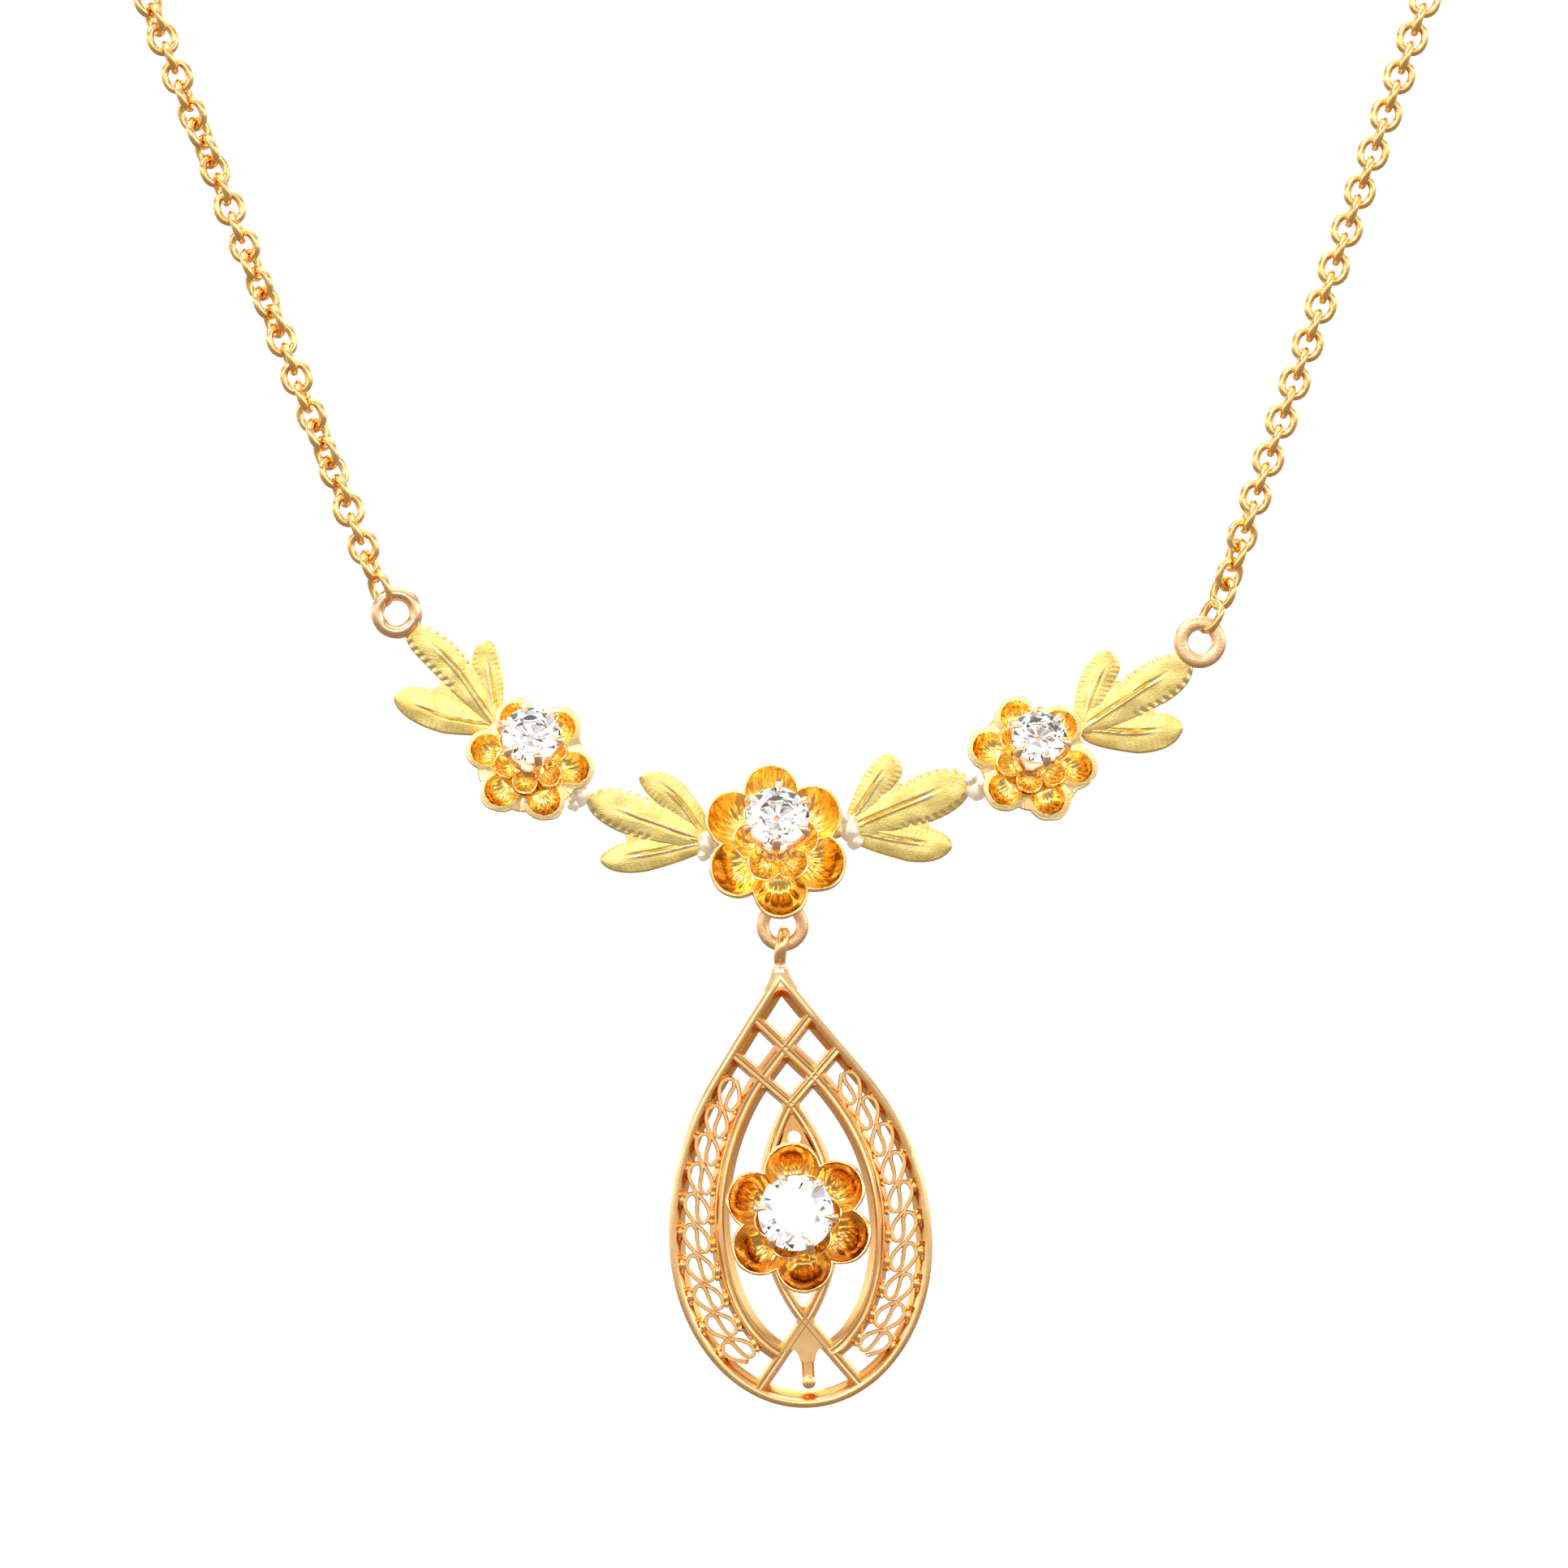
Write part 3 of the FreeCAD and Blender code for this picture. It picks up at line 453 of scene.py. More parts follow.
def makeChain(side):
    look = chainLook[side]
    route = [look["start"], look["straight"], look["corner"], *look["hidden"], look["end"]]
    length, width, wire = chainLook["length"], chainLook["width"], chainLook["wire"]
    values = {"Pitch": chainLook["pitch"], "First Turn": math.radians(look["firstTurn"]),
              "Turn Per Link": math.radians(look["turnPerLink"]), "Metal": chainGold,
              "End Twist": math.radians(look["endTwist"]), "End Links": float(look["endLinks"])}

    def run(around, wireSides, first, last):
        link = unitObject("link", linkMesh("link", around, wireSides, length, width, wire))
        mesh = grow(routeMesh(route), linksAlongRoute,
                    {**values, "Link": link, "From Link": first, "To Link": last})
        bpy.data.objects.remove(link)
        return mesh

    seen = run(24, 10, 0, chainLook["frontLinks"])
    hidden = run(10, 5, chainLook["frontLinks"], chainLook["allLinks"])
    # the link that goes through the garland's ring is a little longer
    ringLink = linkMesh("ringLink", 24, 10, length + 0.15, width + 0.05, wire)
    place = Vector((look["ringLink"][0], 0, look["ringLink"][1]))
    towards = Vector(look["start"]) - place
    lean = Matrix.Rotation(math.atan2(towards.x, towards.z), 4, "Y")
    turn = Matrix.Rotation(math.radians(look["ringLinkTurn"]), 4, "Z")
    ringLink.transform(Matrix.Translation(place) @ lean @ turn)
    addPiece("chain_links_" + side, joined([seen, ringLink]), chainGold, "necklace",
             ["chain_" + side])
    addPiece("chain_links_behind_" + side, hidden, chainGold, "necklace")


makeChain("left")
makeChain("right")
print("chain made")

# ---- rings and clasp

ringLook = {
    "left": {"centre": (-22.62, 20.59), "hole": 0.75, "outer": 1.60, "depth": 0.85, "flat": 0.0},
    "right": {"centre": (26.67, 15.94), "hole": 0.72, "outer": 1.62, "depth": 0.72, "flat": 0.65},
    "drop": {"centre": (0, 0), "hole": 0.825, "outer": 1.615, "depth": 0.62, "flat": 0.6},
}


def ringMesh(look):
    # a ring that faces the front; flat 0 is round wire, more is a flattened face
    bm = bmesh.new()
    centre = Vector((look["centre"][0], 0, look["centre"][1]))
    wire = (look["outer"] - look["hole"]) / 2
    power = 1 - look["flat"] * 0.55
    rings = []
    for x, z in circle(72):
        outward = Vector((x, 0, z))
        uneven = 1 + 0.02 * noise.noise(outward * 1.3 + Vector((look["outer"] * 9, 0, 0)))
        ring = []
        for across, deep in circle(20):
            across = math.copysign(abs(across) ** power, across) * wire
            deep = math.copysign(abs(deep) ** power, deep) * look["depth"] / 2
            at = outward * ((look["hole"] + wire) * uneven + across) + Vector((0, deep, 0))
            ring.append(bm.verts.new(centre + at))
        rings.append(ring)
    bridge(bm, rings, closedAlong=True)
    return newMesh("ring", bm)


def makeRings():
    for side, node, kind, gold in (("left", "end_ring_left", "wire", roseGold),
                                   ("right", "end_ring_right", "washer", satinRose),
                                   ("drop", "drop_ring", "washer", satinRose)):
        addPiece(node + "_" + kind, ringMesh(ringLook[side]), gold, "necklace", [node])
    bm = bmesh.new()
    blob(bm, (-0.55, -0.15, 1.50), (0.55, 0.35, 0.35), 3)
    blob(bm, (0.62, -0.15, 1.42), (0.50, 0.35, 0.33), 5)
    addPiece("drop_ring_solder", newMesh("dropRingSolder", bm), paleSolder, "necklace")


claspLook = {"length": 7.0, "radius": 1.3, "eyeHole": 0.62, "eyeWire": 0.6, "bands": (-2.7, -2.2, 2.2, 2.7)}


def makeClasp():
    bm = bmesh.new()
    half = claspLook["length"] / 2
    radius = claspLook["radius"]
    centre = nape + Vector((0, radius, 0))
    profile = [(0.0, -half), (0.5, -half), (0.95, -half + 0.08), (radius, -half + 0.4)]
    for band in claspLook["bands"]:
        profile += [(radius, band - 0.12), (radius - 0.09, band - 0.05), (radius - 0.09, band + 0.05),
                    (radius, band + 0.12)]
    profile += [(radius, half - 0.4), (0.95, half - 0.08), (0.5, half), (0.0, half)]
    lathe(bm, Matrix.Translation(centre) @ aboutX, profile, 40, caps=False)
    bmesh.ops.remove_doubles(bm, verts=bm.verts, dist=0.0001)
    eye = claspLook["eyeHole"] + claspLook["eyeWire"] / 2
    for side in (-1, 1):
        at = centre + Vector((side * (half + claspLook["eyeHole"]), 0, 0))
        line = [at + Vector((x, 0, z)) * eye for x, z in circle(36)]
        sweepRound(bm, line, claspLook["eyeWire"] / 2, sides=12, closed=True)
    addPiece("clasp_barrel", newMesh("claspBarrel", bm), chainGold, "necklace", ["clasp"])


makeRings()
makeClasp()
print("rings and clasp made")

# ---- flowers

flowerLook = {
    "left": {"x": -14.85, "z": 11.12, "up": 24, "side": 4, "petal": 1.30, "spread": 2.68, "tall": 1.06,
             "turn": 46, "clawTurn": 41, "stone": 3.6, "girdle": 4.8, "backY": -1.40, "postY": 0.2,
             "cup": 0.98, "flutes": 9, "flute": 0.05, "fill": 3.3, "bowl": 0.55},
    "centre": {"x": -0.11, "z": 5.27, "up": 24, "side": 3, "petal": 1.75, "spread": 2.80, "tall": 1.13,
               "turn": 92, "clawTurn": 85, "stone": 3.85, "girdle": 5.3, "backY": -1.55, "postY": 0.2,
               "cup": 1.60, "flutes": 11, "flute": 0.07, "fill": 0.0, "bowl": 0.85},
    "right": {"x": 15.90, "z": 9.43, "up": 24, "side": 7, "petal": 1.35, "spread": 2.70, "tall": 1.06,
              "turn": 47, "clawTurn": 40, "stone": 3.4, "girdle": 4.4, "backY": -1.40, "postY": 0.2,
              "cup": 1.0, "flutes": 9, "flute": 0.05, "fill": 3.3, "bowl": 0.55},
    "drop": {"x": -0.07, "z": -17.85, "up": 10, "side": -3, "petal": 1.80, "spread": 2.85, "tall": 1.0,
             "turn": 94, "clawTurn": 49, "stone": 4.6, "girdle": 4.0, "backY": -1.20, "postY": -0.1,
             "cup": 1.66, "flutes": 7, "flute": 0.06, "fill": 0.0, "bowl": 0.75},
}
flowerShape = {"around": 360, "rows": 34, "floor": 0.5, "seat": 0.87, "innerScale": 0.60,
               "innerSpread": 0.57}


def flowerPlace(look):
    up = math.radians(look["up"])
    side = math.radians(look["side"])
    axis = Vector((math.sin(side), -math.cos(up) * math.cos(side), math.sin(up) * math.cos(side)))
    across = (Vector((1, 0, 0)) - axis * axis.x).normalized()
    third = axis.cross(across)
    base = Vector((look["x"] - axis.x * look["petal"], look["backY"], look["z"] - axis.z * look["petal"]))
    return Matrix.Translation(base) @ Matrix((across, third, axis)).transposed().to_4x4()


def petalTier(bm, tier, seed):
    # one ring of six cups as a single beaten sheet: a front with its hollows, a rim and a back
    paintedHollowShade = layer(bm, "paintedHollowShade")
    radius, spread, cup, rim = tier["radius"], tier["spread"], tier["cup"], tier["rim"]

    def reach(angle):
        # how far the scalloped outline is from the flower's axis
        away = math.radians(abs((math.degrees(angle) - tier["turn"] + 30) % 60 - 30))
        uneven = 1 + 0.035 * noise.noise(Vector((math.cos(angle) * 4, math.sin(angle) * 4, seed)))
        beyond = math.sqrt(max(0, radius ** 2 - (spread * math.sin(away)) ** 2))
        return max(spread * math.cos(away) + beyond, tier["fill"]) * uneven

    def height(x, y, r):
        # the front's level at a place, and how much painted shade its colour gets there
        number = round((math.degrees(math.atan2(y, x)) - tier["turn"]) / 60)
        middle = math.radians(tier["turn"] + 60 * number)
        along = x * math.cos(middle) + y * math.sin(middle) - spread
        across = -x * math.sin(middle) + y * math.cos(middle)
        away = math.hypot(along, across)
        deep = max(0.0, 1 - (away / cup) ** 2) ** tier["bowl"] if away < cup else 0.0
        deep *= 1 + 0.12 * noise.noise(Vector((number % 6 * 3.1 + seed, along * 0.6, across * 0.6)))
        rootAway = math.hypot(along + cup * 0.9, across)
        fan = math.atan2(across, along + cup * 0.9)
        wave = abs(math.sin(fan * tier["flutes"] + number * 1.7 + seed))
        flute = tier["flute"] * (1 - wave) * smoothStep(0.2, 0.9, rootAway) * smoothStep(0.0, 0.35, deep)
        level = rim - (rim - tier["bottom"]) * deep + flute
        if away >= cup:
            level -= 0.25 * (away - cup) ** 1.5
        inside = 1 - smoothStep(spread * 0.62, spread * 0.95, r)
        level = level * (1 - inside) + tier["floor"] * inside
        return level, min(1.0, deep * 1.25) * (1 - inside) + inside * 0.9

    around, rows, inner = flowerShape["around"], flowerShape["rows"], tier["inner"]
    edges = [reach(2 * math.pi * k / around) for k in range(around)]
    rings = []
    for row in range(rows + 1):
        share = 1 - (1 - row / rows) ** 1.7
        ring = []
        for edge, (c, s) in zip(edges, circle(around)):
            r = inner + (edge - 0.06 - inner) * share
            level, depth = height(r * c, r * s, r)
            vert = bm.verts.new((r * c, r * s * tier["tall"], level))
            # the deeper into a cup, the more painted shade; the centre floor gets nearly full painted shade
            vert[paintedHollowShade] = depth
            ring.append(vert)
        rings.append(ring)
    # over the rim, down the outside of the cups and in again at the back
    outside = [([edge - inset * radius for edge in edges], rim - drop * (rim - tier["back"]))
               for drop, inset in ((0.03, 0.0), (0.14, -0.02), (0.45, 0.10), (0.75, 0.32), (0.92, 0.62))]
    for reaches, level in outside + [([inner] * around, tier["back"])]:
        rings.append([bm.verts.new((r * c, r * s * tier["tall"], level))
                      for r, (c, s) in zip(reaches, circle(around))])
    bridge(bm, rings, closedAlong=True)


def flowerMesh(name, look):
    bm = bmesh.new()
    petal = look["petal"]
    floor = flowerShape["floor"] * petal
    petalTier(bm, {**look, "radius": petal, "rim": petal, "bottom": 0.35, "floor": floor, "back": 0.1,
                   "inner": 0.5}, look["x"])
    small = petal * flowerShape["innerScale"]
    rim = floor + small
    petalTier(bm, {**look, "radius": small, "spread": look["spread"] * flowerShape["innerSpread"],
                   "cup": small * 0.92, "turn": look["turn"] + 30, "rim": rim + 0.12,
                   "bottom": rim - small * 0.8, "floor": floor + 0.3, "back": floor - 0.05, "inner": 0.4,
                   "flutes": 7, "flute": 0.10, "fill": 0.0, "bowl": 0.8}, look["x"] + 4)
    # the post behind, which the leaf stems or the frame's cup are soldered round, and the seat
    place = flowerPlace(look)
    axis = place.to_3x3() @ Vector((0, 0, 1))
    back = (look["postY"] - place.translation.y) / axis.y
    lathe(bm, Matrix(), ((0.8, back), (0.8, floor - 0.1)), 32)
    seat = flowerShape["seat"] * petal
    lathe(bm, Matrix(), ((0.6, 0.2), (1.25, 0.25), (1.3, seat - 0.12), (1.22, seat), (0.3, seat)), 48)
    bm.transform(place)
    return newMesh(name, bm)


def clawMesh(look):
    # one claw in the radial plane X, height Z: shank, shoulder and a tip pressed over the crown
    bm = bmesh.new()
    stone = look["stone"] / 2
    girdle = look["girdle"]
    foot = flowerShape["seat"] * look["petal"] + 0.05
    out = stone + 0.30
    line = [Vector((0.72, 0, foot)), Vector((0.98, 0, foot + 0.4)), Vector((out - 0.35, 0, girdle - 0.9)),
            Vector((out - 0.12, 0, girdle - 0.1)), Vector((out - 0.16, 0, girdle + 0.28)),
            Vector((stone - 0.10, 0, girdle + 0.56)), Vector((stone - 0.52, 0, girdle + 0.66))]
    sizes = [(0.36, 0.30), (0.34, 0.30), (0.40, 0.30), (0.46, 0.32), (0.50, 0.30), (0.44, 0.24),
             (0.16, 0.10)]
    corners = ((1, 0.55), (0.62, 1), (-0.62, 1), (-1, 0.55), (-1, -0.55), (-0.62, -1), (0.62, -1),
               (1, -0.55))
    steps = 5
    smooth = smoothLine(line, steps)
    rings = []
    for i, at in enumerate(smooth):
        low = min(i // steps, len(sizes) - 2)
        width, depth = Vector(sizes[low]).lerp(Vector(sizes[low + 1]), i / steps - low) / 2
        along = (smooth[min(len(smooth) - 1, i + 1)] - smooth[max(0, i - 1)]).normalized()
        outward = Vector((along.z, 0, -along.x))
        rings.append([bm.verts.new(at + Vector((0, a * width, 0)) + outward * b * depth)
                      for a, b in corners])
    bridge(bm, rings)
    return newMesh("claw", bm)


def makeSetting(name, look, body):
    place = flowerPlace(look)
    places = [place @ Matrix.Rotation(math.radians(look["clawTurn"] + 60 * n), 4, "Z") for n in range(6)]
    claws = repeatUnit("claws", clawMesh(look), places, settingGold)
    bm = bmesh.new()
    foot = flowerShape["seat"] * look["petal"] + 0.05
    profile = ((0.35, foot), (0.9, foot), (1.0, foot + 0.45), (0.86, foot + 0.45), (0.35, foot + 0.12))
    lathe(bm, place, profile, 40, closedAlong=True)
    addPiece(name + "_claws", joined([claws, newMesh("foot", bm)]), settingGold, body,
             [name])


def paintStone(node):
    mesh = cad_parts[node]
    mesh.data.materials.clear()
    mesh.data.materials.append(diamond)


for name in ("left", "centre", "right"):
    addPiece("flower_" + name + "_petals", flowerMesh(name + "Flower", flowerLook[name]), petalGold,
             "necklace", ["flower_" + name])
    makeSetting("setting_" + name, flowerLook[name], "necklace")
    paintStone("stone_" + name)
addPiece("drop_flower_petals", flowerMesh("dropFlower", flowerLook["drop"]), dropPetalGold, "drop",
         ["drop_flower"])
makeSetting("drop_setting", flowerLook["drop"], "drop")
paintStone("drop_stone")
print("flowers made")

# ---- leaf sprays

leafLook = {"front": -0.20, "back": 0.25, "step": 0.03, "rows": 110, "columns": 44, "veinWidth": 0.075,
            "veinDepth": 0.10, "nickPitch": 0.52, "nickDepth": 0.11, "baseFill": 0.36}
# each spray's first leaflet has nicked edges; vein is how deep the cut beside the
# raised vein is, and its sign says on which side
sprayLook = {
    "left_outer": {"root": (-16.9, 13.3), "post": (-14.85, 10.5),
                   "notches": [(-18.21, 17.13), (-20.75, 15.65)], "leaves": [
        {"tip": (-21.95, 19.75), "a": (-21.75, 18.10), "b": (-18.50, 17.70), "vein": -0.6},
        {"tip": (-17.10, 18.60), "a": (-18.20, 16.90), "b": (-16.30, 15.80), "vein": -0.8},
        {"tip": (-23.10, 15.45), "a": (-20.75, 15.75), "b": (-20.20, 13.00), "vein": 1.0}]},
    "left_inner": {"root": (-4.2, 5.4), "post": (-0.1, 4.4),
                   "notches": [(-7.8, 8.23), (-9.41, 6.05)], "leaves": [
        {"tip": (-11.60, 8.45), "a": (-8.70, 8.75), "b": (-8.90, 5.95), "vein": 0.4},
        {"tip": (-8.30, 9.60), "a": (-5.60, 9.05), "b": (-7.00, 7.60), "vein": -1.0},
        {"tip": (-11.00, 4.65), "a": (-8.30, 5.80), "b": (-8.00, 3.80), "vein": -0.8}]},
    "right_inner": {"root": (4.2, 5.6), "post": (-0.1, 4.4),
                    "notches": [(7.92, 8.21), (9.42, 5.62)], "leaves": [
        {"tip": (12.10, 8.20), "a": (9.10, 8.90), "b": (9.60, 5.85), "vein": 0.8},
        {"tip": (7.20, 10.25), "a": (7.95, 8.90), "b": (5.30, 8.60), "vein": 1.0},
        {"tip": (10.75, 4.30), "a": (8.30, 5.75), "b": (7.80, 3.50), "vein": 1.0}]},
    "right_outer": {"root": (19.0, 10.9), "post": (15.90, 9.1),
                    "notches": [(21.62, 13.83), (23.65, 11.76)], "leaves": [
        {"tip": (26.10, 15.00), "a": (22.60, 14.55), "b": (24.50, 12.40), "vein": 1.0},
        {"tip": (20.95, 15.80), "a": (21.65, 14.50), "b": (18.95, 13.60), "vein": -0.8},
        {"tip": (25.35, 10.75), "a": (23.20, 11.80), "b": (22.40, 9.30), "vein": 1.0}]},
}


def leafOutline(u, widest):
    if u < widest:
        return (u / widest) ** leafLook["baseFill"]
    return max(0.0, 1 - ((u - widest) / (1 - widest)) ** 2.5) ** 0.58


def leafBlade(bm, root, leaf, number):
    # a grid from root to tip, domed, with a raised vein and a cut beside it
    polishAndPaintedHighlight = layer(bm, "polishAndPaintedHighlight")
    seed = number * 2.3 + root[0]
    front = leafLook["front"] + 0.12 + number * leafLook["step"]
    back = leafLook["back"] - number * leafLook["step"]
    veinWidth = leafLook["veinWidth"]
    base = Vector(root)
    tip = Vector(leaf["tip"])
    length = (tip - base).length
    along = (tip - base) / length
    side = Vector((-along.y, along.x))
    halves = []
    for key in ("a", "b"):
        offset = Vector(leaf[key]) - base
        halves.append((offset.dot(side), min(0.8, max(0.3, offset.dot(along) / length))))
    (lowSide, lowPlace), (highSide, highPlace) = sorted(halves)
    rows, columns = leafLook["rows"], leafLook["columns"]
    grid = []
    for i in range(rows + 1):
        u = i / rows
        low = lowSide * leafOutline(u, lowPlace)
        high = highSide * leafOutline(u, highPlace)
        veinShare = smoothStep(0.02, 0.2, u) * (1 - smoothStep(0.55, 0.82, u))
        line = []
        for j in range(columns + 1):
            v = -1 + 2 * j / columns
            v = math.sin(v * math.pi / 2) * 0.35 + v * 0.65
            across = low + (high - low) * (v + 1) / 2
            at = base + along * (u * length) + side * across
            middle = across - (low + high) * 0.5 * smoothStep(0.0, 0.5, u)
            ridge = math.exp(-(middle / veinWidth) ** 2) * veinShare
            beside = middle - math.copysign(veinWidth * 1.9, leaf["vein"])
            groove = math.exp(-(beside / veinWidth) ** 2) * veinShare
            depth = 0.09 * (1 - min(1.0, abs(v)) ** 2.2)
            depth += leafLook["veinDepth"] * (0.6 * ridge - abs(leaf["vein"]) * 1.4 * groove)
            paintedLightMask = ridge * 0.9
            fromEdge = max(0.05, (high - low) / 2) * (1 - abs(v))
            if number == 0:
                phase = (u * length / leafLook["nickPitch"] + (0.5 if v > 0 else 0)) % 1.0
                nick = math.exp(-((phase - 0.5) / 0.22) ** 2) * smoothStep(0.35, 0.5, u)
                nick *= 1 - smoothStep(0.12, 0.48, fromEdge)
                depth -= nick * leafLook["nickDepth"]
                paintedLightMask = max(paintedLightMask, nick)
            else:
                hatch = 0.5 + 0.5 * math.sin(u * length / 0.16 * math.pi + v * 3)
                depth -= 0.014 * hatch * smoothStep(0.3, 0.8, abs(v))
            rim = 1 - smoothStep(0.0, 0.10, fromEdge)
            depth -= 0.07 * rim
            depth += 0.05 * noise.noise(Vector((at.x * 0.9, at.y * 0.9, seed)))
            vert = bm.verts.new((at.x, front - depth, at.y))
            # the vein ridge, the nicks and the rim get painted highlight and polish
            vert[polishAndPaintedHighlight] = min(1.0, paintedLightMask + 0.35 * rim)
            line.append(vert)
        grid.append(line)
    for first, second in zip(grid, grid[1:]):
        for a, b, c, d in zip(first, first[1:], second[1:], second):
            bm.faces.new((a, b, c, d))
    # the edge goes straight back and the back is flat
    border = grid[0] + [line[-1] for line in grid[1:]]
    border += grid[-1][-2::-1] + [line[0] for line in grid[-2:0:-1]]
    behind = [bm.verts.new((vert.co.x, back, vert.co.z)) for vert in border]
    bridge(bm, [border, behind], caps=False)
    for k in range(len(behind) // 2 - 1):
        corners = (behind[k], behind[k + 1], behind[-k - 2], behind[-k - 1])
        if len(set(corners)) == 4:
            bm.faces.new(corners)


def makeSpray(name):
    look = sprayLook[name]
    bm = bmesh.new()
    start = Vector(look["root"])
    for number, leaf in enumerate(look["leaves"]):
        leafBlade(bm, look["root"], leaf, number)
    # the sheet between the leaflets, up to the notches
    for number, notch in enumerate(look["notches"]):
        corner = Vector(notch)
        reach = (corner - start).length * 0.92
        beside = [start + (Vector(look["leaves"][k]["tip"]) - start).normalized() * reach
                  for k in (0, number + 1)]
        bridge(bm, [[bm.verts.new((at.x, depth, at.y)) for at in (start, beside[0], corner, beside[1])]
                    for depth in (-0.03 + number * 0.01, 0.16 - number * 0.02)])
    # the stem runs to the post behind the flower
    root = Vector((start.x, 0.1, start.y))
    post = Vector((look["post"][0], 0.12, look["post"][1]))
    towards = (post - root).normalized()
    reach = (post - root).length - 1.0
    line = [root - towards * 1.2, root, root + towards * reach * 0.5, root + towards * reach]
    sweepRound(bm, smoothLine(line, 6), 0.30, sides=12)
    bmesh.ops.remove_doubles(bm, verts=bm.verts, dist=0.0005)
    addPiece("leaf_spray_" + name + "_blades", newMesh("spray_" + name, bm), leafGold, "necklace",
             ["leaf_spray_" + name])


for name in sprayLook:
    makeSpray(name)


def makeSolder():
    # pale solder where the sprays meet the flowers
    bm = bmesh.new()
    spots = [(-12.0, -0.15, 8.75, 0.62, 0.45, 0.75), (-12.4, -0.1, 8.2, 0.45, 0.4, 0.45),
             (-11.9, -0.3, 9.3, 0.4, 0.35, 0.35), (4.45, -0.35, 5.7, 0.62, 0.42, 0.85),
             (4.75, -0.25, 4.9, 0.5, 0.35, 0.5), (4.2, -0.5, 6.3, 0.35, 0.3, 0.35),
             (-4.35, -0.3, 5.3, 0.6, 0.42, 0.75), (-4.6, -0.25, 4.6, 0.4, 0.35, 0.4),
             (12.4, -0.1, 7.6, 0.65, 0.42, 0.65), (12.1, -0.25, 8.3, 0.4, 0.35, 0.4)]
    for number, (x, y, z, rx, ry, rz) in enumerate(spots):
        blob(bm, (x, y, z), (rx, ry, rz), number * 2.1, rough=0.16, detail=3)
    addPiece("garland_solder", newMesh("garlandSolder", bm), paleSolder, "necklace")


makeSolder()
print("leaves made")

# ---- the drop

frameLook = {
    "rim": {"half": 8.1, "wideZ": -19.5, "foot": 10.25, "flank": 17.4, "bend": 36.0},
    "inner": {"half": 4.95, "wideZ": -18.5, "foot": 8.27, "flank": 14.2, "bend": 42.0},
    "scroll": {"half": 6.4, "wideZ": -19.0, "foot": 9.3, "flank": 15.8, "bend": 38.0},
    "front": -0.60, "back": 0.60, "rimWidth": 0.50, "barWidth": 0.46,
    "lowerCrossing": -11.0, "lowerSlant": 45.0, "ovalFoot": -24.4, "ovalHalf": 2.1, "legEnd": (3.35, -28.75),
    "holeZ": -13.1, "stubZ": -28.15, "loopZ": -1.3, "loopRadius": 0.93,
}


def dropLean(z):
    # the real frame was bent a little to one side near its top
    return -0.32 * smoothStep(-15.5, -4.5, z)


def shoulder(shape):
    # where the arc of the flank ends, and the slope of the straight edge above it
    bend = math.radians(shape["bend"])
    x = shape["half"] - shape["flank"] + shape["flank"] * math.cos(bend)
    return x, shape["wideZ"] + shape["flank"] * math.sin(bend), math.tan(bend)


def halfWidth(shape, z):
    below = shape["wideZ"] - z
    if below > 0:
        return shape["half"] * math.sqrt(max(0.0, 1 - (below / shape["foot"]) ** 2))
    shoulderX, shoulderZ, slope = shoulder(shape)
    if z < shoulderZ:
        return shape["half"] - shape["flank"] + math.sqrt(shape["flank"] ** 2 - below ** 2)
    return shoulderX - (z - shoulderZ) * slope


def teardropPoint(shape):
    x, z, slope = shoulder(shape)
    return z + x / slope


def teardropSide(shape, inset):
    # the right half from the point at the top down to the foot, moved inwards by inset
    small = dict(shape, half=shape["half"] - inset, foot=shape["foot"] - inset, flank=shape["flank"] - inset)
    top = teardropPoint(small)
    bend = math.radians(shape["bend"])
    heights = [top + (shoulder(small)[1] - top) * k / 7 for k in range(1, 8)]
    line = [(0.0, top)] + [(halfWidth(small, z), z) for z in heights]
    for k in range(1, 30):
        angle = bend * (1 - k / 30)
        line.append((small["half"] - small["flank"] + small["flank"] * math.cos(angle),
                     small["wideZ"] + small["flank"] * math.sin(angle)))
    for k in range(61):
        angle = math.pi / 2 * k / 60
        line.append((small["half"] * math.cos(angle), small["wideZ"] - small["foot"] * math.sin(angle)))
    return line


def mirroredLine(line):
    return [(-x, z) for x, z in line]


def sweepFlat(bm, line, section, closed=False):
    # a section of (across, depth, painted wall shade) swept along a line that lies in the drop's plane
    paintedWallShade = layer(bm, "paintedWallShade")
    rings = []
    count = len(line)
    for i, (x, z) in enumerate(line):
        before = line[i - 1] if i > 0 or closed else None
        after = line[(i + 1) % count] if i < count - 1 or closed else None
        into = Vector((x - before[0], z - before[1])).normalized() if before else None
        out = Vector((after[0] - x, after[1] - z)).normalized() if after else into
        into = into or out
        along = (into + out).normalized()
        side = Vector((-along.y, along.x)) / max(0.35, along.dot(into))
        ring = []
        for across, depth, wallShadeAmount in section:
            atZ = z + side.y * across
            vert = bm.verts.new((x + side.x * across + dropLean(atZ), depth, atZ))
            vert[paintedWallShade] = wallShadeAmount
            ring.append(vert)
        rings.append(ring)
    bridge(bm, rings, closedAlong=closed)


def skin(bm, lines, wallShadeAmount, closedAlong=False):
    # outlines in the drop's plane, each at its own depth, skinned one after another, with one amount of
    # painted shade for all
    paintedWallShade = layer(bm, "paintedWallShade")
    rings = []
    for outline, depth in lines:
        rings.append([bm.verts.new((x + dropLean(z), depth, z)) for x, z in outline])
        for vert in rings[-1]:
            vert[paintedWallShade] = wallShadeAmount
    bridge(bm, rings, closedAlong)


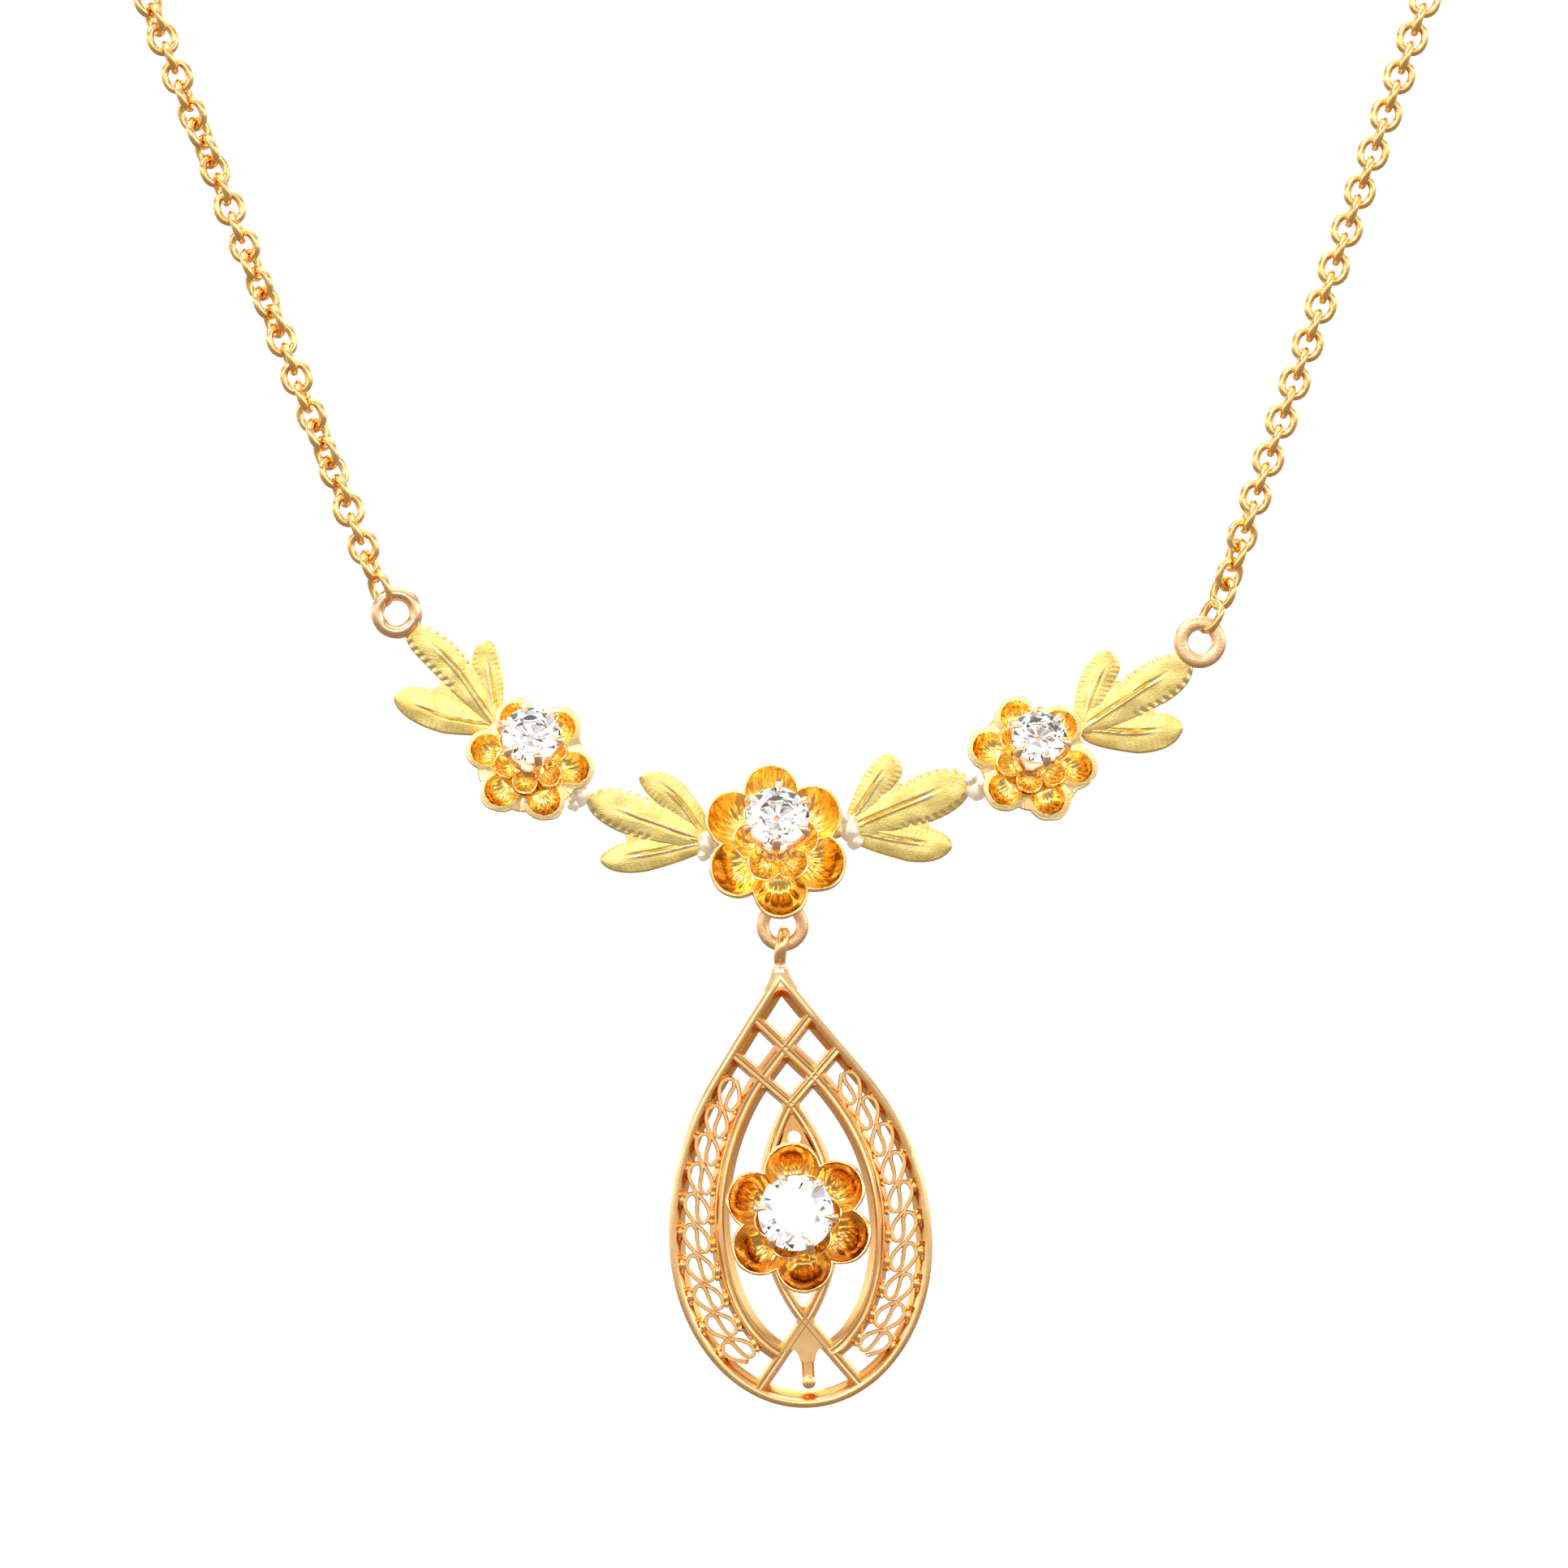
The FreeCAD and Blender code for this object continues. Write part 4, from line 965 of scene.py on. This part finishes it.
def barSection(width, draftOut, draftIn, lift):
    # from the back of the outer side over the grooved front to the back of the inner side; the third value
    # of each point is painted shade, dark on the side walls, none on the front
    front = frameLook["front"] + lift
    back = frameLook["back"] - lift
    h = width / 2

    def half(draft):
        return [(h + draft, back, 1.0), (h + draft * 0.45, front + 0.45, 0.9),
                (h + draft * 0.1, front + 0.12, 0.45), (h - 0.02, front + 0.035, 0.0),
                (h - 0.08, front, 0.0), (h - 0.12, front + 0.03, 0.1), (h * 0.25, front + 0.07, 0.2)]

    return half(draftOut) + [(-a, d, w) for a, d, w in reversed(half(draftIn))]


def addRim(bm):
    # round outside, a flat bright face and a deep wall inside; the walls carry painted shade, most on the
    # inner wall
    h, front, back = frameLook["rimWidth"] / 2, frameLook["front"], frameLook["back"]
    section = [(h - 0.02, back, 0.5), (h, 0.2, 0.3), (h, front + 0.22, 0.1), (h - 0.05, front + 0.07, 0.0),
               (h - 0.14, front, 0.0), (-h + 0.10, front, 0.0), (-h + 0.03, front + 0.04, 0.0),
               (-h, front + 0.12, 0.5), (-h - 0.08, front + 0.35, 1.0), (-h - 0.12, front + 0.40, 0.7),
               (-h - 0.40, 0.2, 1.0), (-h - 0.50, back, 1.0)]
    # the line runs down the right side and up the left, so its left-hand side is outside
    right = teardropSide(frameLook["rim"], h)
    sweepFlat(bm, right + mirroredLine(right[1:-1])[::-1], section, closed=True)


def addBars(bm):
    # each bar has its own small lift, so that no two faces lie in one plane where bars cross
    look = frameLook
    width, low, foot = look["barWidth"], look["lowerCrossing"], look["ovalFoot"]
    lattice = ((teardropPoint(look["inner"]), look["inner"]["bend"]), (low, look["lowerSlant"]))
    for side, lift in ((-1, 0.020), (1, 0.008)):
        for start, slant in lattice:
            run = 0.0
            tan = math.tan(math.radians(slant))
            while run < halfWidth(look["rim"], start + run / tan) - look["rimWidth"] * 0.6:
                run += 0.02
            sweepFlat(bm, [(0, start), (side * run, start + run / tan)], barSection(width, 0.22, 0.22, lift))
    # inner rails from the crossing down to the legs
    legX, legZ = look["legEnd"]
    slope = legX / (foot - legZ)
    rail = [at for at in teardropSide(look["inner"], 0.0) if at[0] > (foot - at[1]) * slope - 0.1]
    sweepFlat(bm, rail, barSection(width + 0.06, 0.36, 0.40, 0.014))
    sweepFlat(bm, mirroredLine(rail), barSection(width + 0.06, 0.40, 0.36, 0.050))
    # pointed oval and legs
    half = (low - foot) / 2
    bulge = look["ovalHalf"]
    radius = (half ** 2 + bulge ** 2) / (2 * bulge)
    reach = math.asin(half / radius)
    angles = [reach - 2 * reach * k / 40 for k in range(41)]
    arc = [(bulge - radius + radius * math.cos(angle), (low + foot) / 2 + radius * math.sin(angle))
           for angle in angles]
    for line, lift in ((arc, 0.026), ([(0, foot), (legX, legZ)], 0.038)):
        sweepFlat(bm, line, barSection(width, 0.2, 0.2, lift))
        sweepFlat(bm, mirroredLine(line), barSection(width, 0.2, 0.2, lift + 0.006))


def addCrossings(bm):
    # the bars flow into one another where they cross, with a little painted shade there
    top, low, foot = teardropPoint(frameLook["inner"]), frameLook["lowerCrossing"], frameLook["ovalFoot"]
    steep, flat = [math.tan(math.radians(slant))
                   for slant in (frameLook["inner"]["bend"], frameLook["lowerSlant"])]
    sideX = (top - low) / (1 / steep + 1 / flat)
    sideZ = low + sideX / flat
    for x, z, slantA, slantB in ((0, top, steep, steep), (0, low, flat, flat), (sideX, sideZ, steep, flat),
                                 (-sideX, sideZ, steep, flat), (0, foot, 0.62, 0.62)):
        armA = Vector((1, 1 / slantA)).normalized()
        armB = Vector((-1, 1 / slantB)).normalized()
        outline = []
        for a, b in ((armA, armB), (armB, -armA), (-armA, -armB), (-armB, armA)):
            inner = (a + b).normalized()
            for offset in (a * 0.95, a * 0.52 + inner * 0.13, inner * 0.56, b * 0.52 + inner * 0.13):
                outline.append((x + offset.x, z + offset.y))
        skin(bm, ((outline, frameLook["front"] + 0.125), (outline, frameLook["back"] - 0.07)), 0.3)


def addWebs(bm):
    front, back = frameLook["front"], frameLook["back"]
    # the web under the oval's top has a round hole; the recessed web is painted with shade
    holeZ = frameLook["holeZ"]
    hole, edge = [], []
    for z, x in circle(24):
        hole.append((x * 0.42, holeZ + z * 0.42))
        far = 0.1
        while far < 1.6 and abs(x * far) <= (-11.1 - holeZ - z * far) * 0.37 and holeZ + z * far >= -14.2:
            far += 0.02
        edge.append((x * far, holeZ + z * far))
    skin(bm, ((edge, -0.1), (hole, -0.1), (hole, 0.4), (edge, 0.4)), 0.6, closedAlong=True)
    # web between the legs, with curved lower edges, and the peg with its stub, both with a little painted
    # shade
    right = [(0.75, -25.0), (1.5, -26.0), (1.45, -26.25), (1.2, -26.12), (0.95, -26.08), (0.72, -26.18),
             (0.55, -26.45), (0.45, -26.9)]
    web = [(0.0, -24.2)] + right + mirroredLine(right)[::-1]
    skin(bm, ((web, front + 0.08), (web, back - 0.15)), 0.1)
    stubZ = frameLook["stubZ"]
    sweepRound(bm, [Vector((0, 0, z)) for z in (-26.0, -26.6, -27.2, -27.8, stubZ)],
               [0.46, 0.42, 0.40, 0.40, 0.41], sides=16, wallShadeAmount=0.2)
    lathe(bm, Matrix.Translation((0, 0, stubZ)) @ aboutY,
          ((0.42, 0.35), (0.43, 0.0), (0.43, -0.5), (0.40, -0.70), (0.32, -0.75)), 24)
    # filled corner and collar at the top, the corner with a little painted shade
    right = [(0.46, -2.68), (0.56, -3.0), (0.74, -3.45), (1.05, -3.95), (0.72, -4.45), (0.45, -4.14),
             (0.2, -3.98)]
    corner = right + [(0.0, -3.95)] + mirroredLine(right)[::-1]
    skin(bm, ((corner, front + 0.03), (corner, back - 0.1)), 0.1)
    collar = [Vector((-0.32, 0, -3.75)), Vector((-0.33, 0, -3.2)), Vector((-0.34, 0, -2.75)),
              Vector((-0.30, 0, -2.45))]
    sweepRound(bm, smoothLine(collar, 5), [0.62 - 0.016 * k for k in range(16)], sides=18)


def addLoop(bm):
    # an upright oval wire that leans a little, through the drop ring
    middleZ, radius = frameLook["loopZ"], frameLook["loopRadius"]
    line = []
    for c, s in circle(48):
        z = middleZ + radius * c
        line.append(Vector((-0.30 + 0.42 * smoothStep(-2.3, 0.2, z), radius * s, z)))
    rings = []
    for before, at, after in zip(line[-1:] + line, line, line[1:] + line[:1]):
        outward = (at - Vector((at.x, 0, middleZ))).normalized()
        across = (after - before).normalized().cross(outward)
        rings.append([bm.verts.new(at + (outward * c * 0.36 + across * s * 0.38)) for c, s in circle(14)])
    bridge(bm, rings, closedAlong=True)


def makeDropFrame():
    bm = bmesh.new()
    for add in (addRim, addBars, addCrossings, addWebs, addLoop):
        add(bm)
    # the cup behind the drop flower and its two arms, the arms with painted shade
    x, z = flowerLook["drop"]["x"], flowerLook["drop"]["z"]
    lathe(bm, Matrix.Translation((x, 0, z)) @ aboutY,
          ((0.9, 0.1), (1.2, 0.1), (1.25, 0.15), (1.25, 0.50), (1.2, 0.54), (0.9, 0.54)), 40)
    sweepFlat(bm, [(x - 2.2, z), (x + 2.2, z)],
              [(0.23, 0.12, 0.5), (0.23, 0.52, 0.5), (-0.23, 0.52, 0.5), (-0.23, 0.12, 0.5)])
    solder = bmesh.new()
    blob(solder, (-0.36, -0.42, -2.85), (0.44, 0.22, 0.36), 2.0)
    blob(solder, (-0.30, -0.40, -2.50), (0.36, 0.14, 0.22), 4.0)
    addPiece("drop_apex_solder", newMesh("apexSolder", solder), paleSolder, "drop")
    addPiece("drop_frame_bars", newMesh("dropFrame", bm), frameGold, "drop", ["drop_frame"])


filigreeLook = {"count": 10, "topZ": -10.2, "pitch": 1.85, "wire": 0.135, "halfWidth": 0.78,
                "rise": 0.10, "front": -0.28}


def scrollMesh(mirror):
    # one bend of a wire that runs on from unit to unit: down the right, up the middle, down the left
    w, h = filigreeLook["halfWidth"], filigreeLook["pitch"] / 2
    bends = [(-0.12, 1.06), (0.42, 0.62), (0.86, 0.10), (1.0, -0.40), (0.78, -0.86), (0.36, -0.88),
             (0.10, -0.52), (0.04, 0.05), (0.02, 0.55), (-0.20, 0.90), (-0.60, 0.92), (-0.95, 0.52),
             (-0.92, 0.05), (-0.62, -0.42), (-0.12, -0.94)]
    line = smoothLine([Vector((x * w * mirror, 0, z * h)) for x, z in bends], 4)
    bm = bmesh.new()
    rings = []
    r = filigreeLook["wire"]
    for i, at in enumerate(line):
        along = (line[min(i + 1, len(line) - 1)] - line[max(i - 1, 0)]).normalized()
        side = Vector((-along.z, 0, along.x))
        rise = filigreeLook["rise"] * (0.5 - i / len(line))
        rings.append([bm.verts.new(at + side * a * r + Vector((0, b + rise, 0))) for a, b in
                      ((1, 0.05), (1, -0.14), (0.6, -0.22), (-0.6, -0.22), (-1, -0.14), (-1, 0.05),
                       (-0.6, 0.2), (0.6, 0.2))])
    bridge(bm, rings)
    # solder that holds it to the rim and to the inner rail
    for number, (x, z, rx, rz) in enumerate(((-1.35, 0.50, 0.34, 0.36), (1.38, -0.42, 0.34, 0.36),
                                             (-1.12, 0.90, 0.20, 0.20), (1.2, -0.85, 0.20, 0.18),
                                             (-1.45, 0.05, 0.17, 0.22), (1.45, 0.05, 0.17, 0.22),
                                             (-0.10, -1.0, 0.17, 0.15))):
        blob(bm, (x * w * mirror, 0.02, z * h), (rx, 0.22, rz), number * 1.7, rough=0.3)
    return newMesh("scroll", bm)


def makeFiligree(side):
    look = filigreeLook
    places = []
    z = look["topZ"]
    step = 0.02
    for number in range(look["count"]):
        travelled = 0
        while number and travelled < look["pitch"]:
            travelled += math.hypot(halfWidth(frameLook["scroll"], z - step)
                                    - halfWidth(frameLook["scroll"], z), step)
            z -= step
        x = halfWidth(frameLook["scroll"], z)
        lean = math.atan2(halfWidth(frameLook["scroll"], z - step) - x, step)
        depth = look["front"] + 0.2 + 0.03 * (number % 2)
        at = Matrix.Translation((side * x + dropLean(z), depth, z))
        places.append(at @ Matrix.Rotation(-side * lean, 4, "Y"))
    sideName = "left" if side < 0 else "right"
    mesh = repeatUnit("scrolls", scrollMesh(-side), places, filigreeGold)
    addPiece("filigree_" + sideName + "_scrolls", mesh, filigreeGold, "drop",
             ["filigree_" + sideName])


makeDropFrame()
makeFiligree(-1)
makeFiligree(1)
print("drop made")

# ---- floor, light and camera

studio = {"floorDrop": 0.016, "frameWidth": 0.0966, "distance": 0.45, "roll": 3.3, "film": 36,
          "aim": (-0.00341, -0.0842, -0.12632), "paper": 1.13, "behindCamera": 0.9,
          "sky": [(0.0, (0.34, 0.27, 0.20)), (0.36, (0.46, 0.40, 0.34)), (0.48, (0.90, 0.87, 0.83)),
                  (0.60, (1.8, 1.78, 1.75)), (0.74, (0.50, 0.47, 0.45)), (0.86, (1.2, 1.2, 1.2)),
                  (1.0, (2.0, 2.0, 2.0))],
          "lamps": [("key", (-0.35, -0.35, 0.55), 0.30, 1.6), ("fill", (0.50, -0.45, 0.15), 0.25, 0.5),
                    ("front", (-0.1, -0.9, 0.25), 0.25, 0.6), ("back", (0.1, 0.6, 0.5), 0.4, 0.8)]}


def makeFloor():
    bm = bmesh.new()
    bmesh.ops.create_circle(bm, cap_ends=True, segments=96, radius=6)
    mesh = bpy.data.meshes.new("floor")
    bm.to_mesh(mesh)
    bm.free()
    mesh.transform(Matrix.Translation((0, 0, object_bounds()[0].z - studio["floorDrop"])))
    mesh.materials.append(shaded("floorPaper", {"Base Color": (0.92, 0.92, 0.92, 1), "Roughness": 0.9}))
    floor = bpy.data.objects.new("floor", mesh)
    scene.collection.objects.link(floor)
    floor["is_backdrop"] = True
    floor.visible_glossy = False


def makeWorld():
    # plain paper to the camera and in soft light, a banded sky in reflections
    world = bpy.data.worlds.new("studio")
    scene.world = world
    world.use_nodes = True
    tree = world.node_tree
    tree.nodes.clear()
    coords = addNode(tree, "ShaderNodeTexCoord")
    split = addNode(tree, "ShaderNodeSeparateXYZ", {0: coords.outputs["Generated"]})
    level = addNode(tree, "ShaderNodeMapRange", {"Value": split.outputs["Z"], "From Min": -1})
    ramp = addNode(tree, "ShaderNodeValToRGB", {"Fac": level.outputs["Result"]})
    stops = ramp.color_ramp.elements
    stops[0].color = (*studio["sky"][0][1], 1)
    stops[1].color = (*studio["sky"][-1][1], 1)
    for place, colour in studio["sky"][1:-1]:
        stops.new(place).color = (*colour, 1)
    front = addNode(tree, "ShaderNodeMapRange", {
        "Value": split.outputs["Y"], "From Min": -1, "From Max": -0.72, "To Min": studio["behindCamera"]})
    sky = addNode(tree, "ShaderNodeBackground", {
        "Color": ramp.outputs["Color"], "Strength": front.outputs["Result"]})
    paper = addNode(tree, "ShaderNodeBackground", {"Color": (1, 1, 1, 1), "Strength": studio["paper"]})
    path = addNode(tree, "ShaderNodeLightPath")
    either = addNode(tree, "ShaderNodeMath", {
        0: path.outputs["Is Camera Ray"], 1: path.outputs["Is Diffuse Ray"]}, operation="MAXIMUM")
    mix = addNode(tree, "ShaderNodeMixShader", {
        0: either.outputs[0], 1: sky.outputs[0], 2: paper.outputs[0]})
    addNode(tree, "ShaderNodeOutputWorld", {"Surface": mix.outputs[0]})


def makeLamps():
    for name, offset, size, power in studio["lamps"]:
        data = bpy.data.lights.new(name, "AREA")
        data.size = size
        data.energy = power
        lamp = bpy.data.objects.new(name, data)
        lamp.location = Vector(studio["aim"]) + Vector(offset)
        lamp.rotation_euler = (-Vector(offset)).to_track_quat("-Z", "Y").to_euler()
        scene.collection.objects.link(lamp)


def makeCamera():
    data = bpy.data.cameras.new("camera")
    data.lens = studio["film"] * studio["distance"] / studio["frameWidth"]
    data.sensor_width = studio["film"]
    data.clip_start = 0.01
    camera = bpy.data.objects.new("camera", data)
    roll = math.radians(studio["roll"])
    right = Vector((math.cos(roll), 0, -math.sin(roll)))
    up = Vector((math.sin(roll), 0, math.cos(roll)))
    turned = Matrix((right, up, Vector((0, -1, 0)))).transposed().to_4x4()
    place = Vector(studio["aim"]) - Vector((0, studio["distance"], 0))
    camera.matrix_world = Matrix.Translation(place) @ turned
    scene.collection.objects.link(camera)
    scene.camera = camera
    scene.view_settings.view_transform = "Standard"


makeFloor()
makeWorld()
makeLamps()
makeCamera()
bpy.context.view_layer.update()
triangles = sum(len(polygon.vertices) - 2 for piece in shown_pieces() for polygon in piece.data.polygons)
print("triangles", triangles)
